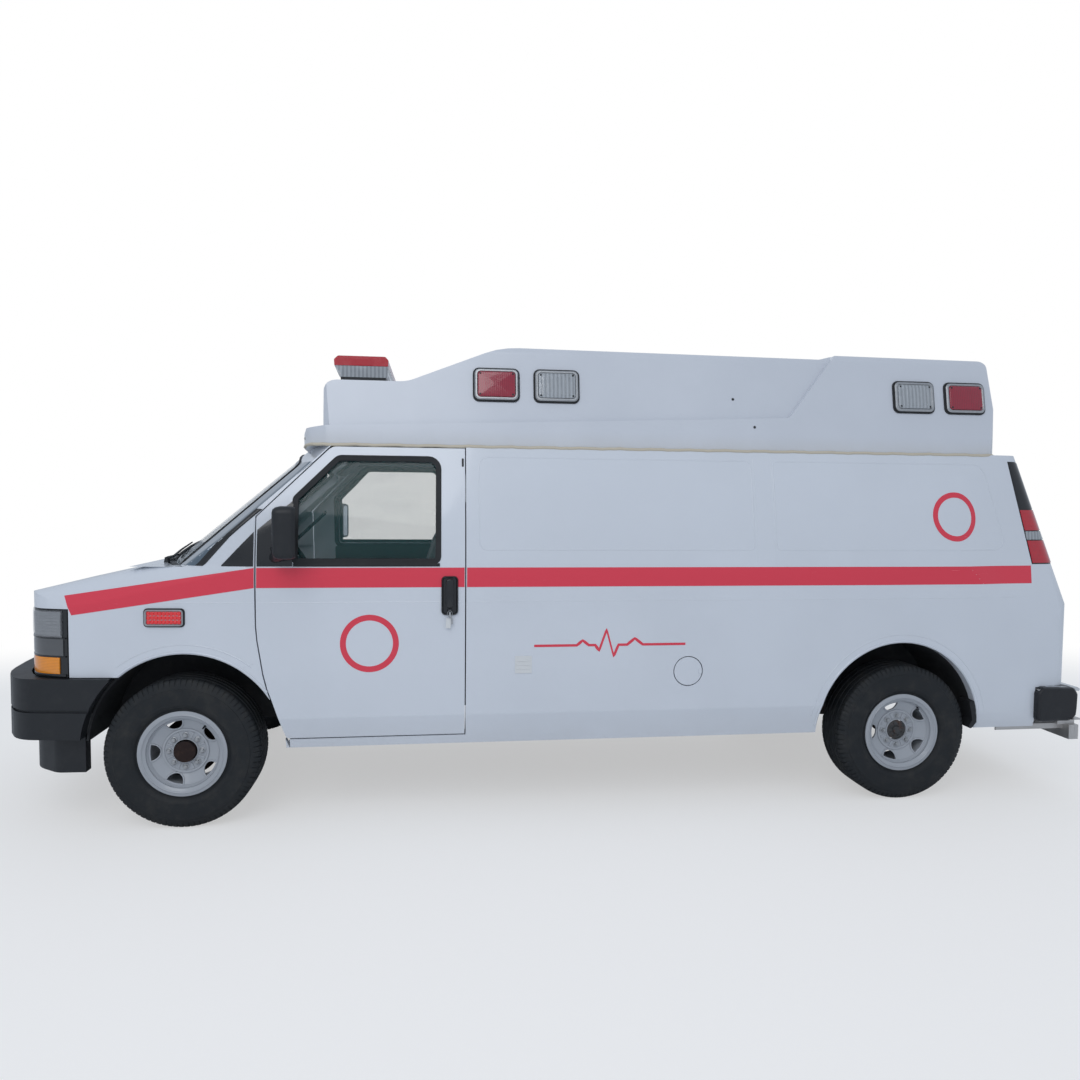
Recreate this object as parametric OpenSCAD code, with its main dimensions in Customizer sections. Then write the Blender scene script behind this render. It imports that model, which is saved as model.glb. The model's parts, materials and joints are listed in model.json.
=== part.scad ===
// A long-wheelbase high-roof van ambulance, standing on its wheels.
// The front looks towards -X and the driver's side towards -Y.
// Inside the modules X is measured from the front axle, Z from the ground.

/* [Running gear] */
// Distance between the front and the rear axle
wheelbase = 3937; // [3900:1:3970]
// Distance between the middles of the front tyres
front_track = 1734; // [1720:2:1744]
// Distance between the middles of the rear tyres
rear_track = 1726; // [1716:2:1740]
// Outside radius of a tyre
tyre_r = 387; // [370:1:390]
// Width of a tyre
tyre_w = 240; // [220:2:244]
// Radius of a rim's flange
rim_r = 221; // [215:1:225]
// Radius of a rim's centre bore
hub_bore_r = 58; // [54:1:60]
// Distance of a kingpin from the middle of the van
kingpin_y = 752; // [745:1:760]

/* [Body] */
// Half of the body's width at its widest
half_w = 1006; // [1000:1:1010]
// Height of the sill's lower edge
sill_z = 400; // [390:1:420]
// Height of the belt line, where the side windows start
belt_z = 1345; // [1335:1:1355]
// Height of the roof gutter, where the high roof is seated
gutter_z = 1985; // [1975:1:1995]
// Height of the high roof's top
roof_z = 2540; // [2520:1:2560]
// Thickness of the walls and doors
wall_t = 50; // [44:1:54]
// Gap between a moving panel and its frame
panel_gap = 6; // [5.5:0.5:8]
// Slope of the windscreen from the level
screen_angle = 40.1; // [39:0.1:41]

/* [Doors] */
// Front edge of a front door above the wheel arch
door_front_x = 374; // [370:1:380]
// Rear edge of a front door at the belt
door_rear_x = 1436; // [1430:1:1442]
// Front edge of the side door opening on the right
side_door_x = 1560; // [1550:1:1580]
// Line where the two side doors meet
side_split_x = 2278; // [2240:1:2300]
// Rear edge of the side door opening
side_door_end_x = 2760; // [2740:1:2800]
// Half width of the rear door opening
rear_door_y = 800; // [790:1:806]
// Half width of the hood
hood_y = 810; // [800:1:820]

/* [Hidden] */

$fn = 48;
nose_x = -1000;                    // front of the bumper
tail_x = 5060;                     // rear of the step
mid_x = (nose_x + tail_x) / 2;     // middle of the whole length
front_x = -880;                    // front of the body at its centre line
rear_x = 5018;                     // rear of the body below the window
knee_z = 1130;                     // where the rear starts to lean
rear_lean = 19.6;                  // lean of the rear above the knee
screen_x = -240;                   // windscreen base on the centre line
screen_r = 2800;                   // radius of the windscreen's bow
arch_step = 10;                    // degrees between the points of a round corner
hinge_out = 4;                     // how far a door's hinge line stands off the side
front_arch = [15, 405, 498];       // centre x, centre z, radius of the front arch
rear_arch = [wheelbase - 34, 425, 486];
fuel_at = [2652, 774];             // centre of the fuel door, x and z
fuel_r = 78;
bumper_x = 4764;                   // front end of the rear bumper's wrapped corners
bumper_z = 624;                    // top of the rear bumper
rear_door_z = 664;                 // lower edge of the rear doors
plate_z = 535;                     // middle of the rear number plate
plate_holes_w = 177.8;             // spacing of its four screws
plate_holes_h = 120.6;
plate_hole_r = 3.5;
floor_z = 640;                     // top of the floor
rail_y = 430;                      // middle of a chassis rail
rail_w = 70;                       // its width
rail_z = 480;                      // its underside
liner_y = 500;                     // inner end of a wheel arch liner
liner_t = 12;
liner_z = 444;                     // lower edge of a liner
engine_hood_y = 300;               // half width of the cover over the engine
engine_hood_t = 20;                // its wall
door_axis = [door_front_x - 3, half_w + hinge_out];
side_front_axis = [side_door_x - 3, half_w + hinge_out];
side_rear_axis = [side_door_end_x + 3, half_w + hinge_out];
rear_axis = [rear_x + hinge_out, rear_door_y + 3];
far = 1300;

// ---- outlines: every row is [first axis, second axis, corner radius] ----

function unit(v) = v / norm(v);
function spin(v, a) = [v.x * cos(a) - v.y * sin(a), v.x * sin(a) + v.y * cos(a)];
function at(row) = [row.x, row.y];

// The round corner at b between its neighbours a and c
function corner(a, b, c) =
  b[2] == 0 ? [at(b)] :
  let (
    u = unit(at(a) - at(b)),
    v = unit(at(c) - at(b)),
    half = acos(u * v) / 2,
    middle = at(b) + unit(u + v) * b[2] / sin(half),
    start = at(b) + u * b[2] / tan(half) - middle,
    sweep = (180 - 2 * half) * sign(cross(v, u)),
    n = max(1, ceil(abs(sweep) / arch_step))
  )
  [for (k = [0:n]) middle + spin(start, sweep * k / n)];

function rounded(rows) = [
  for (i = [0:len(rows) - 1])
    each corner(rows[(i + len(rows) - 1) % len(rows)], rows[i], rows[(i + 1) % len(rows)])
];

// Inward normal of an edge, for rows listed counter-clockwise
function inward(a, b) = spin(unit(at(b) - at(a)), 90);

// The same outline moved inwards by d
function inset(rows, d) = [
  for (i = [0:len(rows) - 1])
    let (
      b = rows[i],
      n1 = inward(rows[(i + len(rows) - 1) % len(rows)], b),
      n2 = inward(b, rows[(i + 1) % len(rows)]),
      p = at(b) + (n1 + n2) * d / (1 + n1 * n2)
    )
    [p.x, p.y, b[2] == 0 ? 0 : max(1, b[2] - d * sign(cross(n1, n2)))]
];

// A whole outline from the half with a positive second axis
function both_halves(half) = concat(
  [for (row = half) [row.x, -row.y, row[2]]],
  [for (i = [len(half) - 1:-1:0]) half[i]]
);

// The other way round: a whole outline from the half with a positive first axis
function both_sides(half) = concat(
  half,
  [for (i = [len(half) - 1:-1:0]) [-half[i].x, half[i].y, half[i][2]]]
);

function box_rows(x0, z0, x1, z1, r = 0) = [[x0, z0, r], [x1, z0, r], [x1, z1, r], [x0, z1, r]];

// ---- the body's form ----

// Half section of the body: y, z, corner radius
section_half = [
  [952, sill_z - 20, 0], [1000, 562, 60], [half_w, 800, 900], [half_w, 1164, 300],
  [1000, belt_z, 900], [958, 1660, 1800], [876, gutter_z + 5, 0]
];

// Half plan of the body: x, y, corner radius
plan_half = [
  [front_x - 4, 60, 0], [-842, 640, 900], [-736, 876, 170], [-560, 934, 500],
  [380, half_w, 1500], [3700, half_w, 3000], [4720, 976, 900], [4990, 934, 100],
  [rear_x, 760, 300], [rear_x + 4, 60, 0]
];

// Side view of the body: x, z, corner radius
side_rows = [
  [front_x - 6, sill_z - 20, 0], [rear_x + 6, sill_z - 20, 0], [rear_x + 6, knee_z, 260],
  [rear_x + 6 - (gutter_z - knee_z) * tan(rear_lean), gutter_z, 0],
  [screen_x - 20 + (gutter_z - belt_z) / tan(screen_angle), gutter_z, 0],
  [screen_x - 20, belt_z, 0], [-600, 1277, 1500], [-800, 1213, 130], [front_x, 1125, 60]
];

module along_y(rows, w = 2 * far) rotate([90, 0, 0]) linear_extrude(w, center = true)
  polygon(rounded(rows));

module along_x(rows, x0, x1) translate([x0, 0, 0]) rotate([90, 0, 90])
  linear_extrude(x1 - x0) polygon(rounded(rows));

module along_z(rows, z0, z1) translate([0, 0, z0]) linear_extrude(z1 - z0)
  polygon(rounded(rows));

// An outline in x and z, cut through the left side only, from y0 outwards
module left_cut(rows, y0 = 300) translate([0, -y0, 0]) rotate([90, 0, 0])
  linear_extrude(far - y0) polygon(rounded(rows));

module mirror_y() mirror([0, 1, 0]) children();

module both() {
  children();
  mirror_y() children();
}

// The windscreen's bowed face, running up its slope
module screen_form(d) {
  steps = 14;
  translate([screen_x, 0, belt_z]) rotate([0, 90 - screen_angle, 0])
    translate([0, 0, -500]) linear_extrude(6500) polygon(concat(
      [[5200, -1150], [5200, 1150]],
      [for (k = [steps:-1:0])
        let (y = -1150 + 2300 * k / steps)
        [screen_r - sqrt(pow(screen_r - d, 2) - y * y), y]]
    ));
}

// The round shoulder of the right fender, rising to the belt at the door
shoulder_rows = [
  [-2400, -4000, 0], [170, -4000, 0], [170, -470, 0], [64, -180, 300], [0, 0, 90],
  [-2400, 54, 0]
];

module shoulder_form(d) translate([-390, 903, 1298]) rotate([0, -12.9, 4.4])
  along_x(inset(shoulder_rows, d), -900, 6500);

// The D-pillar's round corner on the right, leaning in and forwards
corner_rows = [
  [-6500, -2500, 0], [6, -2500, 0], [0, -170, 500], [-34, 0, 95], [-420, 46, 400],
  [-6500, 1500, 0]
];

module pillar_form(d) translate([rear_x, 934, knee_z]) rotate([4.5, -rear_lean, 0])
  along_z(inset(corner_rows, d), -4000, 4000);

// Above the belt the body is a little narrower by the windscreen
cab_plan_half = [[-700, 860, 0], [60, 950, 0], [420, half_w, 600], [rear_x + 200, half_w + 20, 0]];

module body_form(d) intersection() {
  along_y(inset(side_rows, d));
  along_x(inset(both_sides(section_half), d), front_x - 60, rear_x + 60);
  along_z(inset(both_halves(plan_half), d), 0, 2200);
  pillar_form(d);
  mirror_y() pillar_form(d);
  union() {
    screen_form(d);
    translate([-1500, -far, 0]) cube([7000, 2 * far, belt_z - d]);
  }
  union() {
    intersection() {
      shoulder_form(d);
      mirror_y() shoulder_form(d);
    }
    along_z(inset(both_halves(cab_plan_half), d), belt_z - d - 1, 2200);
  }
}

// The body's wall, cut to the region given as children
module shell(t = wall_t) difference() {
  intersection() {
    body_form(0);
    children();
  }
  body_form(t);
}

// Half width of the body's skin at a height
function skin_y(z) = lookup(z, [for (row = section_half) [row[1], row.x]]);

// What a door sweeps about its upright hinge line, out to its free edge
module swing_form(axis, edge_x, extra = 0) {
  heights = [380, 562, 800, 1164, belt_z, 1500, 1660, 1830, 2000];
  translate([axis.x, -axis.y, 0]) rotate_extrude($fn = 240) polygon(concat(
    [[0, 380]],
    [for (z = heights) [norm([edge_x - axis.x, axis.y - skin_y(z)]) + extra, z]],
    [[0, 2000]]
  ));
}

// ---- the door outlines, side view ----

// Front door: x, z, corner radius, grown by g
function door_rows(g) = inset([
  [517, 453, 20], [1700, 453, 0], [1700, 1972, 0], [742, 1972, 60],
  [door_front_x, 1602, 20], [door_front_x + 2, 1010, 500], [416, 760, 500]
], -g);

function window_rows(g) = inset([
  [560, 1370, 20], [1302, 1370, 30], [1302, 1918, 60], [775, 1918, 50], [560, 1700, 30]
], -g);

function side_opening(g) = box_rows(side_door_x - g, 455 - g, side_door_end_x + g, 1930 + g, 30);

module arches(y0, extra = 0) {
  for (arch = [front_arch, rear_arch])
    translate([arch.x, -y0, arch.y]) rotate([90, 0, 0]) cylinder(r = arch[2] + extra, h = far, $fn = 96);
}

// ---- the van's body ----

module floor_pan() difference() {
  translate([-150, -far, floor_z - 40]) cube([5120, 2 * far, 40]);
  translate([-200, engine_hood_t - engine_hood_y, 0]) cube([600, 2 * (engine_hood_y - engine_hood_t), 1000]);
  both() arches(liner_y, liner_t);
}

module wheel_liner(arch) {
  deep = 460;
  translate([arch.x, -liner_y, arch.y]) rotate([90, 0, 0]) difference() {
    cylinder(r = arch[2] + liner_t, h = deep, $fn = 96);
    translate([0, 0, 10]) cylinder(r = arch[2], h = deep, $fn = 96);
    translate([-700, -1400 + liner_z - arch.y, -1]) cube([1400, 1400, deep + 2]);
  }
}

// Cover over the rear of the engine, between the seats' footwells
module engine_cover() difference() {
  translate([150, -engine_hood_y, floor_z]) cube([450, 2 * engine_hood_y, 215]);
  translate([149, engine_hood_t - engine_hood_y, floor_z - 50]) cube([431, 2 * (engine_hood_y - engine_hood_t), 245]);
}

module floor() color("dimgray") from_axle() {
  intersection() {
    union() {
      floor_pan();
      both() {
        wheel_liner(front_arch);
        wheel_liner(rear_arch);
      }
    }
    body_form(wall_t + 0.5);
  }
  engine_cover();
}

module side_wall_cut() difference() {
  intersection() {
    translate([900, -far, sill_z]) cube([4400, far - rear_door_y - panel_gap, gutter_z - sill_z]);
    wall_zone();
  }
  arches(500);
}

// The rear bumper's place, where the body is cut away
module bumper_space() translate([bumper_x, -far, 300]) cube([600, 2 * far, bumper_z + 8 - 300]);

module side_wall() difference() {
  shell() side_wall_cut();
  tail_lamp_cut(1);
  bumper_space();
}

module fuel_pocket(r, y0) translate([fuel_at.x, -y0, fuel_at.y]) rotate([90, 0, 0])
  cylinder(r = r, h = 200);

module left_side_wall() color("white") from_axle() {
  difference() {
    side_wall();
    fuel_pocket(fuel_r + 5, 975);
  }
  translate([fuel_at.x, -974, fuel_at.y]) rotate([90, 0, 0]) cylinder(r = 30, h = 14);
}

module right_side_wall() color("white") from_axle() mirror_y() difference() {
  side_wall();
  left_cut(side_opening(panel_gap), 700);
}

// Side door of one hinge line and one free edge
module side_door(axis, edge_x) shell() intersection() {
  left_cut(side_opening(0), 700);
  swing_form(axis, edge_x);
}

module side_door_front() color("white") from_axle() mirror_y()
  side_door(side_front_axis, side_split_x - 3);

module side_door_rear() color("white") from_axle() mirror_y()
  side_door(side_rear_axis, side_split_x + 3);

// ---- the high roof ----

roof_front = 492;
// Side view of the roof's outline: x, z, corner radius
roof_rows = [
  [roof_front, gutter_z, 0], [4556, gutter_z, 0], [4500, roof_z + 2, 50], [3562, roof_z + 9, 30],
  [3485, roof_z - 12, 60], [1640, roof_z, 500], [1126, 2333, 200], [700, 2333, 80],
  [612, 2080, 30], [500, 2058, 30]
];
// Side view of the wider band and rear box
roof_band_rows = [
  [roof_front, gutter_z, 0], [4556, gutter_z, 0], [4500, roof_z + 2, 50], [3562, roof_z + 9, 20],
  [3270, 2178, 40], [2900, 2162, 200], [700, 2084, 0], [500, 2058, 30]
];
roof_section = [[872, gutter_z, 0], [866, 2070, 0], [788, roof_z + 20, 60]];
roof_inner_section = [[846, gutter_z, 0], [838, 2082, 0], [752, roof_z + 18, 70]];
roof_plan = [[roof_front, 60, 0], [roof_front + 34, 420, 900], [roof_front + 110, 820, 90],
  [roof_front + 230, 876, 300], [4490, 880, 60], [4562, 800, 60], [4566, 60, 0]];
nose_plan = [[608, 60, 0], [634, 420, 1400], [684, 762, 60], [745, 880, 60], [4490, 880, 60],
  [4566, 780, 60], [4568, 60, 0]];

module roof_form(d) intersection() {
  along_y(inset(roof_rows, d));
  along_x(inset(both_sides(roof_inner_section), d), 400, 4600);
  along_z(inset(both_halves(nose_plan), d), 1900, 2700);
}

module roof_band() intersection() {
  along_y(roof_band_rows);
  along_x(both_sides(roof_section), 400, 4600);
  along_z(both_halves(roof_plan), 1900, 2700);
}

module high_roof() color("white") from_axle() difference() {
  union() {
    roof_form(0);
    roof_band();
  }
  roof_form(28);
  translate([760, -818, gutter_z - 5]) cube([3700, 1636, 60]);
}

// ---- front end ----

fender_rows = [
  [-551, 783, 0], [0, 783, 0], [0, sill_z, 0], [530, sill_z, 0], [511, 450, 0],
  [410, 756, 500], [door_front_x - 4, 1010, 500], [door_front_x - panel_gap, 1200, 0],
  [door_front_x - panel_gap, belt_z, 0], [-900, belt_z, 0], [-900, 1131, 0],
  [-551, 1131, 0]
];

module front_fenders() color("white") from_axle() both() difference() {
  shell(36) left_cut(fender_rows, hood_y + panel_gap);
  arches(300);
}

hood_plan = [[-1000, hood_y, 0], [-100, hood_y, 40], [-296, 300, 500]];
cowl_plan = [[-1000, hood_y + panel_gap, 0], [-94, hood_y + panel_gap, 40], [-290, 300, 500]];

module hood() color("white") from_axle() shell(30)
  along_z(both_halves(hood_plan), 1133, 1500);

module screen_opening(g) translate([screen_x, 0, belt_z]) rotate([0, 90 - screen_angle, 0])
  rotate([0, 90, 0]) translate([0, 0, -60]) linear_extrude(420)
  polygon(rounded(inset(both_halves([[-955, 745, 60], [-46, 842, 60]]), -g)));

// Where the side wall takes over from the cab, behind the front door
module wall_zone() difference() {
  translate([900, -far, 0]) cube([4400, far, 3000]);
  swing_form(door_axis, door_rear_x, panel_gap);
}

module cab_zone() difference() {
  union() {
    along_y([[-420, 1290, 0], [door_front_x - panel_gap, 1290, 0],
      [door_front_x - panel_gap, 1604, 0], [738, 1978, 0], [1480, 1978, 0],
      [1480, gutter_z, 0], [400, gutter_z, 0], [-420, belt_z + 20, 0]]);
    both() left_cut(box_rows(532, sill_z, 1480, 447), 700);
  }
  along_z(both_halves(cowl_plan), 1100, 1400);
  both() {
    left_cut(box_rows(-600, 1280, -94, belt_z), hood_y - 34);
    left_cut(box_rows(-100, 1280, door_front_x, belt_z), hood_y + panel_gap);
    wall_zone();
  }
}

// Everything above the ledge that the windscreen stands on
module above_ledge(g) translate([-600, -far, belt_z - 4 + g]) cube([2000, 2 * far, 1000]);

module cab_frame() color("white") from_axle() difference() {
  shell() cab_zone();
  intersection() {
    screen_opening(0);
    above_ledge(0);
  }
}

module windshield() color("lightblue") from_axle() intersection() {
  difference() {
    body_form(4);
    body_form(10);
  }
  screen_opening(-0.3);
  above_ledge(4.5);
}

bumper_half = [[nose_x, 60, 0], [-984, 420, 900], [-930, 760, 500], [-800, 930, 180],
  [-345, 984, 0]];
bumper_inner = [[nose_x + 90, 60, 0], [-894, 400, 900], [-850, 700, 500], [-740, 862, 150],
  [-344, 912, 0]];
valance_half = [[nose_x + 150, 60, 0], [-838, 420, 900], [-800, 760, 200], [-640, 880, 100],
  [-500, 884, 0]];

module bumper_band(half, inner, z0, z1) difference() {
  along_z(both_halves(half), z0, z1);
  translate([0, 0, -1]) along_z(both_halves(inner), z0, z1 + 2);
}

module front_bumper() color("darkslategray") from_axle() {
  difference() {
    union() {
      bumper_band(bumper_half, bumper_inner, 622, 780);
      bumper_band(bumper_half, bumper_inner, 470, 608);
      bumper_band([for (r = bumper_half) [r.x + 10, r.y - 8, r[2]]],
        [for (r = bumper_inner) [r.x + 11, r.y, r[2]]], 607, 623);
    }
    both() arches(300, liner_t + 2);
  }
  bumper_band(valance_half, [for (r = valance_half) [r.x + 60, r.y - 60, max(0, r[2] - 60)]], 280, 469);
  translate([-910, -390, 480]) cube([104, 780, 100]);
}

module grille() color("dimgray") from_axle() difference() {
  shell(40) translate([-1000, -618, 784]) cube([400, 1236, 343]);
  for (row = [0:4])
    for (half = [-1, 1])
      translate([-1100, half * 300 - 280, 812 + row * 60]) cube([1000, 560, 38]);
}

module headlights() color("lightgray") from_axle() both()
  shell(60) translate([-1000, -far, 782]) cube([1000 - 557, far - 624, 1127 - 782]);

// ---- rear end ----

module tail_lamp_cut(g = 0) left_cut([[4744 - g, 1352 - g, 0], [5200, 1352 - g, 0],
  [5200, 1948 + g, 0], [4604 - g, 1948 + g, 0]], rear_door_y + panel_gap + 1 - 2 * g);

module tail_lamps() color("firebrick") from_axle() both()
  shell(40) tail_lamp_cut();

module rear_frame() color("white") from_axle() shell() difference() {
  translate([4600, -rear_door_y - panel_gap, bumper_z + 8])
    cube([600, 2 * (rear_door_y + panel_gap), gutter_z - bumper_z - 8]);
  translate([4500, -rear_door_y - panel_gap - 1, rear_door_z - panel_gap])
    cube([700, 2 * (rear_door_y + panel_gap + 1), 1931 - rear_door_z + panel_gap]);
}

// What a rear door sweeps about its upright hinge line
module rear_swing() translate([rear_axis.x, -rear_axis.y, 0])
  rotate_extrude($fn = 240) polygon(concat(
    [[0, rear_door_z]],
    [for (z = [rear_door_z, knee_z, 1330, 1530, 1730, 1925])
      [norm([hinge_out + max(0, z - knee_z) * tan(rear_lean), rear_axis.y - 3]), z]],
    [[0, 1925]]
  ));

module rear_window_cut(g) translate([4300, 0, 0]) rotate([90, 0, 90]) linear_extrude(900)
  polygon(rounded(box_rows(-690 - g, 1390 - g, -130 + g, 1840 + g, 40)));

module rear_door() difference() {
  shell() intersection() {
    translate([4400, -rear_door_y, rear_door_z]) cube([800, rear_door_y, 1925 - rear_door_z]);
    rear_swing();
  }
  rear_window_cut(0);
}

module rear_glass() difference() {
  intersection() {
    body_form(12);
    rear_window_cut(-0.3);
  }
  body_form(18);
}

module rear_left_door() color("white") from_axle() rear_door();
module rear_right_door() color("white") from_axle() mirror_y() rear_door();
module rear_left_window() color("black") from_axle() rear_glass();
module rear_right_window() color("black") from_axle() mirror_y() rear_glass();

// Four bores for a number plate's screws
module plate_holes()
  for (y = [-plate_holes_w / 2, plate_holes_w / 2])
    for (z = [plate_z - plate_holes_h / 2, plate_z + plate_holes_h / 2])
      translate([4990, y, z]) rotate([0, 90, 0]) cylinder(r = plate_hole_r, h = 80);

// Steel bumper beam with black ends, and the low step plate hung below it
module rear_step() color("silver") from_axle() {
  difference() {
    along_z(both_halves([[4800, 700, 0], [4800, 996, 30], [5030, 990, 60], [5048, 700, 0]]), 446, bumper_z);
    translate([4700, -1100, 400]) cube([300, 2200, 300]);
    plate_holes();
  }
  both() translate([4770, -992, 446]) difference() {
    cube([232, 130, 178]);
    translate([-1, 40, -1]) cube([300, 200, 300]);
  }
  translate([4940, -940, 400]) cube([110, 1880, 46]);
  translate([5000, -960, 314]) cube([60, 1920, 86]);
  both() translate([4568, -906, 366]) cube([440, 8, 32]);
}

// ---- glass, doors and mirrors ----

module front_door() difference() {
  shell() intersection() {
    left_cut(door_rows(0), 700);
    swing_form(door_axis, door_rear_x);
  }
  left_cut(window_rows(0));
}

module door_glass() difference() {
  intersection() {
    body_form(18);
    left_cut(window_rows(-0.3));
  }
  body_form(23);
}

module front_left_door() color("white") from_axle() front_door();
module front_right_door() color("white") from_axle() mirror_y() front_door();
module front_left_window() color("lightblue") from_axle() door_glass();
module front_right_window() color("lightblue") from_axle() mirror_y() door_glass();

module mirror_head() {
  translate([540, -1110, 1525]) rotate([0, 0, -12]) hull() {
    for (x = [-50, 62])
      for (z = [-105, 105])
        translate([x, -50, z]) sphere(28, $fn = 16);
    for (x = [-40, 30])
      for (z = [-95, 95])
        translate([x, 45, z]) sphere(20, $fn = 16);
  }
  translate([500, -1070, 1412]) cube([80, 130, 36]);
}

module left_mirror() color("darkslategray") from_axle() difference() {
  mirror_head();
  body_form(0);
}

module right_mirror() color("darkslategray") from_axle() mirror_y() difference() {
  mirror_head();
  body_form(0);
}

module fuel_door() color("white") from_axle() shell(10) fuel_pocket(fuel_r, 900);

// ---- cab and load space ----

module dashboard() color("dimgray") from_axle() difference() {
  intersection() {
    along_y([[0, 860, 40], [300, 860, 40], [360, 1120, 60], [300, 1260, 60], [60, 1296, 40],
      [-60, 1280, 0]], 1900);
    body_form(wall_t + 2);
  }
  both() arches(liner_y - 2, liner_t + 2);
}

module steering_wheel() color("darkslategray") from_axle() {
  translate([530, -430, 1270]) rotate([0, 62, 0]) {
    rotate_extrude($fn = 64) translate([186, 0]) circle(14, $fn = 24);
    cylinder(r = 52, h = 36, center = true);
    for (a = [0, 120, 240])
      rotate([0, 0, a + 60]) translate([40, -16, -8]) cube([140, 32, 14]);
    translate([0, 0, -150]) cylinder(r = 22, h = 140);
  }
}

module cab_seat() {
  translate([780, -240, floor_z]) cube([380, 480, 130]);
  translate([700, -265, 772]) cube([520, 530, 110]);
  translate([1170, -255, 884]) rotate([0, 14, 0]) cube([110, 510, 560]);
  translate([1312, -130, 1442]) rotate([0, 14, 0]) cube([80, 260, 180]);
}

module cab_seats() color("gray") from_axle() both() translate([0, -430, 0]) cab_seat();

module bulkhead() color("lightgray") from_axle() difference() {
  intersection() {
    translate([1470, -far, floor_z]) cube([24, 2 * far, gutter_z - floor_z]);
    body_form(wall_t + 0.5);
  }
  translate([1400, -300, floor_z + 60]) cube([200, 600, 1180]);
}

module squad_bench() color("lightgray") from_axle() {
  difference() {
    translate([3200, 520, floor_z + 1]) cube([1400, 390, 400]);
    mirror_y() arches(liner_y, liner_t + 2);
  }
  translate([3200, 520, floor_z + 402]) cube([1400, 390, 70]);
  translate([1560, -872, floor_z + 1]) cube([1500, 352, 1130]);
}

module engine() color("gray") from_axle() translate([-540, -265, 470]) cube([900, 530, 355]);

// ---- chassis ----

module chassis_rails() color("dimgray") from_axle() both()
  translate([-800, -rail_y - rail_w / 2, rail_z]) cube([5700, rail_w, 119]);

module crossmembers() color("dimgray") from_axle()
  for (x = [-760, 480, 1500, 2500, 3300, 4400])
    translate([x, -rail_y + rail_w / 2, rail_z + 20]) cube([80, 2 * rail_y - rail_w, 60]);

module front_suspension() color("dimgray") from_axle() {
  translate([-90, -rail_y - 30, 330]) cube([180, 2 * rail_y + 60, 130]);
  both() {
    translate([-60, -rail_y - 35, 460]) cube([120, 70, 19]);
    translate([-50, -kingpin_y + 50, 300]) cube([100, kingpin_y - rail_y - 80, 30]);
    translate([-90, -rail_y - 30, 300]) cube([180, 100, 30]);
  }
}

module rear_axle() color("dimgray") from_axle() translate([wheelbase, 0, tyre_r]) {
  rotate([90, 0, 0]) cylinder(r = 45, h = rear_track - tyre_w - 60, center = true);
  sphere(150);
  both() translate([-650, -rail_y - 30, 46]) cube([1300, 60, 40]);
  both() translate([0, -rear_track / 2 - 20, 0]) rotate([-90, 0, 0])
    cylinder(r = hub_bore_r - 4, h = 160);
  translate([-2600, 0, 20]) rotate([0, 90, 0]) cylinder(r = 42, h = 2480);
}

module exhaust() color("silver") from_axle() {
  translate([400, 300, 400]) rotate([0, 90, 0]) cylinder(r = 28, h = 1610);
  translate([2000, 300, 400]) rotate([0, 90, 0]) cylinder(r = 90, h = 700);
  translate([2690, 300, 400]) rotate([0, 90, 0]) cylinder(r = 28, h = 560);
}

module fuel_tank() color("dimgray") from_axle()
  translate([2000, -795, 434]) cube([1200, 310, 165]);

// ---- lamps ----

module light_bar() color("firebrick") from_axle() {
  along_y([[752, 2354, 0], [1008, 2354, 0], [1008, 2424, 0], [1019, 2440, 0],
    [1012, 2491, 16], [730, 2491, 16], [719, 2440, 0], [752, 2424, 0]], 1240);
  both() translate([800, -500, 2334]) cube([160, 80, 21]);
}

// A lamp body: the plate's corners are round and it stands against the wall
module lamp(w, h, t, r) rotate([90, 0, 0]) linear_extrude(t) translate([-w / 2, -h / 2])
  polygon(rounded(box_rows(0, 0, w, h, r)));

// Lamps on one side: x and z of the middle, and the roof's section there
side_lamps = [
  [1608, 2325, roof_inner_section], [1940, 2325, roof_inner_section],
  [4028, 2313, roof_section], [4346, 2313, roof_section]
];

// Half width of a roof section at a height, and its lean from upright
function roof_y(section, z) =
  section[1].x + (section[2].x - section[1].x) * (z - section[1].y) / (section[2].y - section[1].y);
function roof_lean(section) =
  atan((section[1].x - section[2].x) / (section[2].y - section[1].y));

module warning_lights() color("firebrick") from_axle() both() {
  for (l = side_lamps)
    translate([l.x, -roof_y(l[2], l.y) - 0.5, l.y]) rotate([-roof_lean(l[2]), 0, 0]) lamp(256, 190, 24, 34);
  translate([-78, -977, 1089]) rotate([0, 0, -4.4]) lamp(204, 96, 20, 18);
}

// ---- wheels ----

module tyre(x, y) translate([x, y, tyre_r]) rotate([90, 0, 0]) rotate_extrude($fn = 96)
  polygon(rounded([
    [203.5, -96, 0], [rim_r + 1, -96, 0], [240, -112, 8], [305, -tyre_w / 2, 80],
    [362, -112, 30], [tyre_r, -92, 14], [tyre_r, 92, 14], [362, 112, 30],
    [305, tyre_w / 2, 80], [240, 112, 8], [rim_r + 1, 96, 0], [203.5, 96, 0]
  ]));

// Left rim, its outer face towards -Y
module rim(x, y) translate([x, y, tyre_r]) rotate([90, 0, 0]) {
  rotate_extrude($fn = 96) polygon([
    [203, -97], [rim_r, -97], [rim_r, -103], [200, -108], [180, -104], [180, 70], [183, 96],
    [200, 108], [rim_r, 103], [rim_r, 97], [203, 97]
  ]);
  difference() {
    rotate_extrude($fn = 96) polygon([
      [hub_bore_r, 22], [112, 22], [126, 34], [180, 58], [181, 70], [170, 70], [124, 48],
      [110, 42], [106, 46], [hub_bore_r, 46]
    ]);
    for (k = [0:4])
      rotate([0, 0, 180 + 72 * k]) intersection() {
        translate([166, 0, 0]) cylinder(r = 45, h = 120);
        cylinder(r = 171, h = 130);
      }
    for (k = [0:7])
      rotate([0, 0, 45 * k]) translate([82.5, 0, 0]) cylinder(r = 7.5, h = 100);
  }
}

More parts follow.
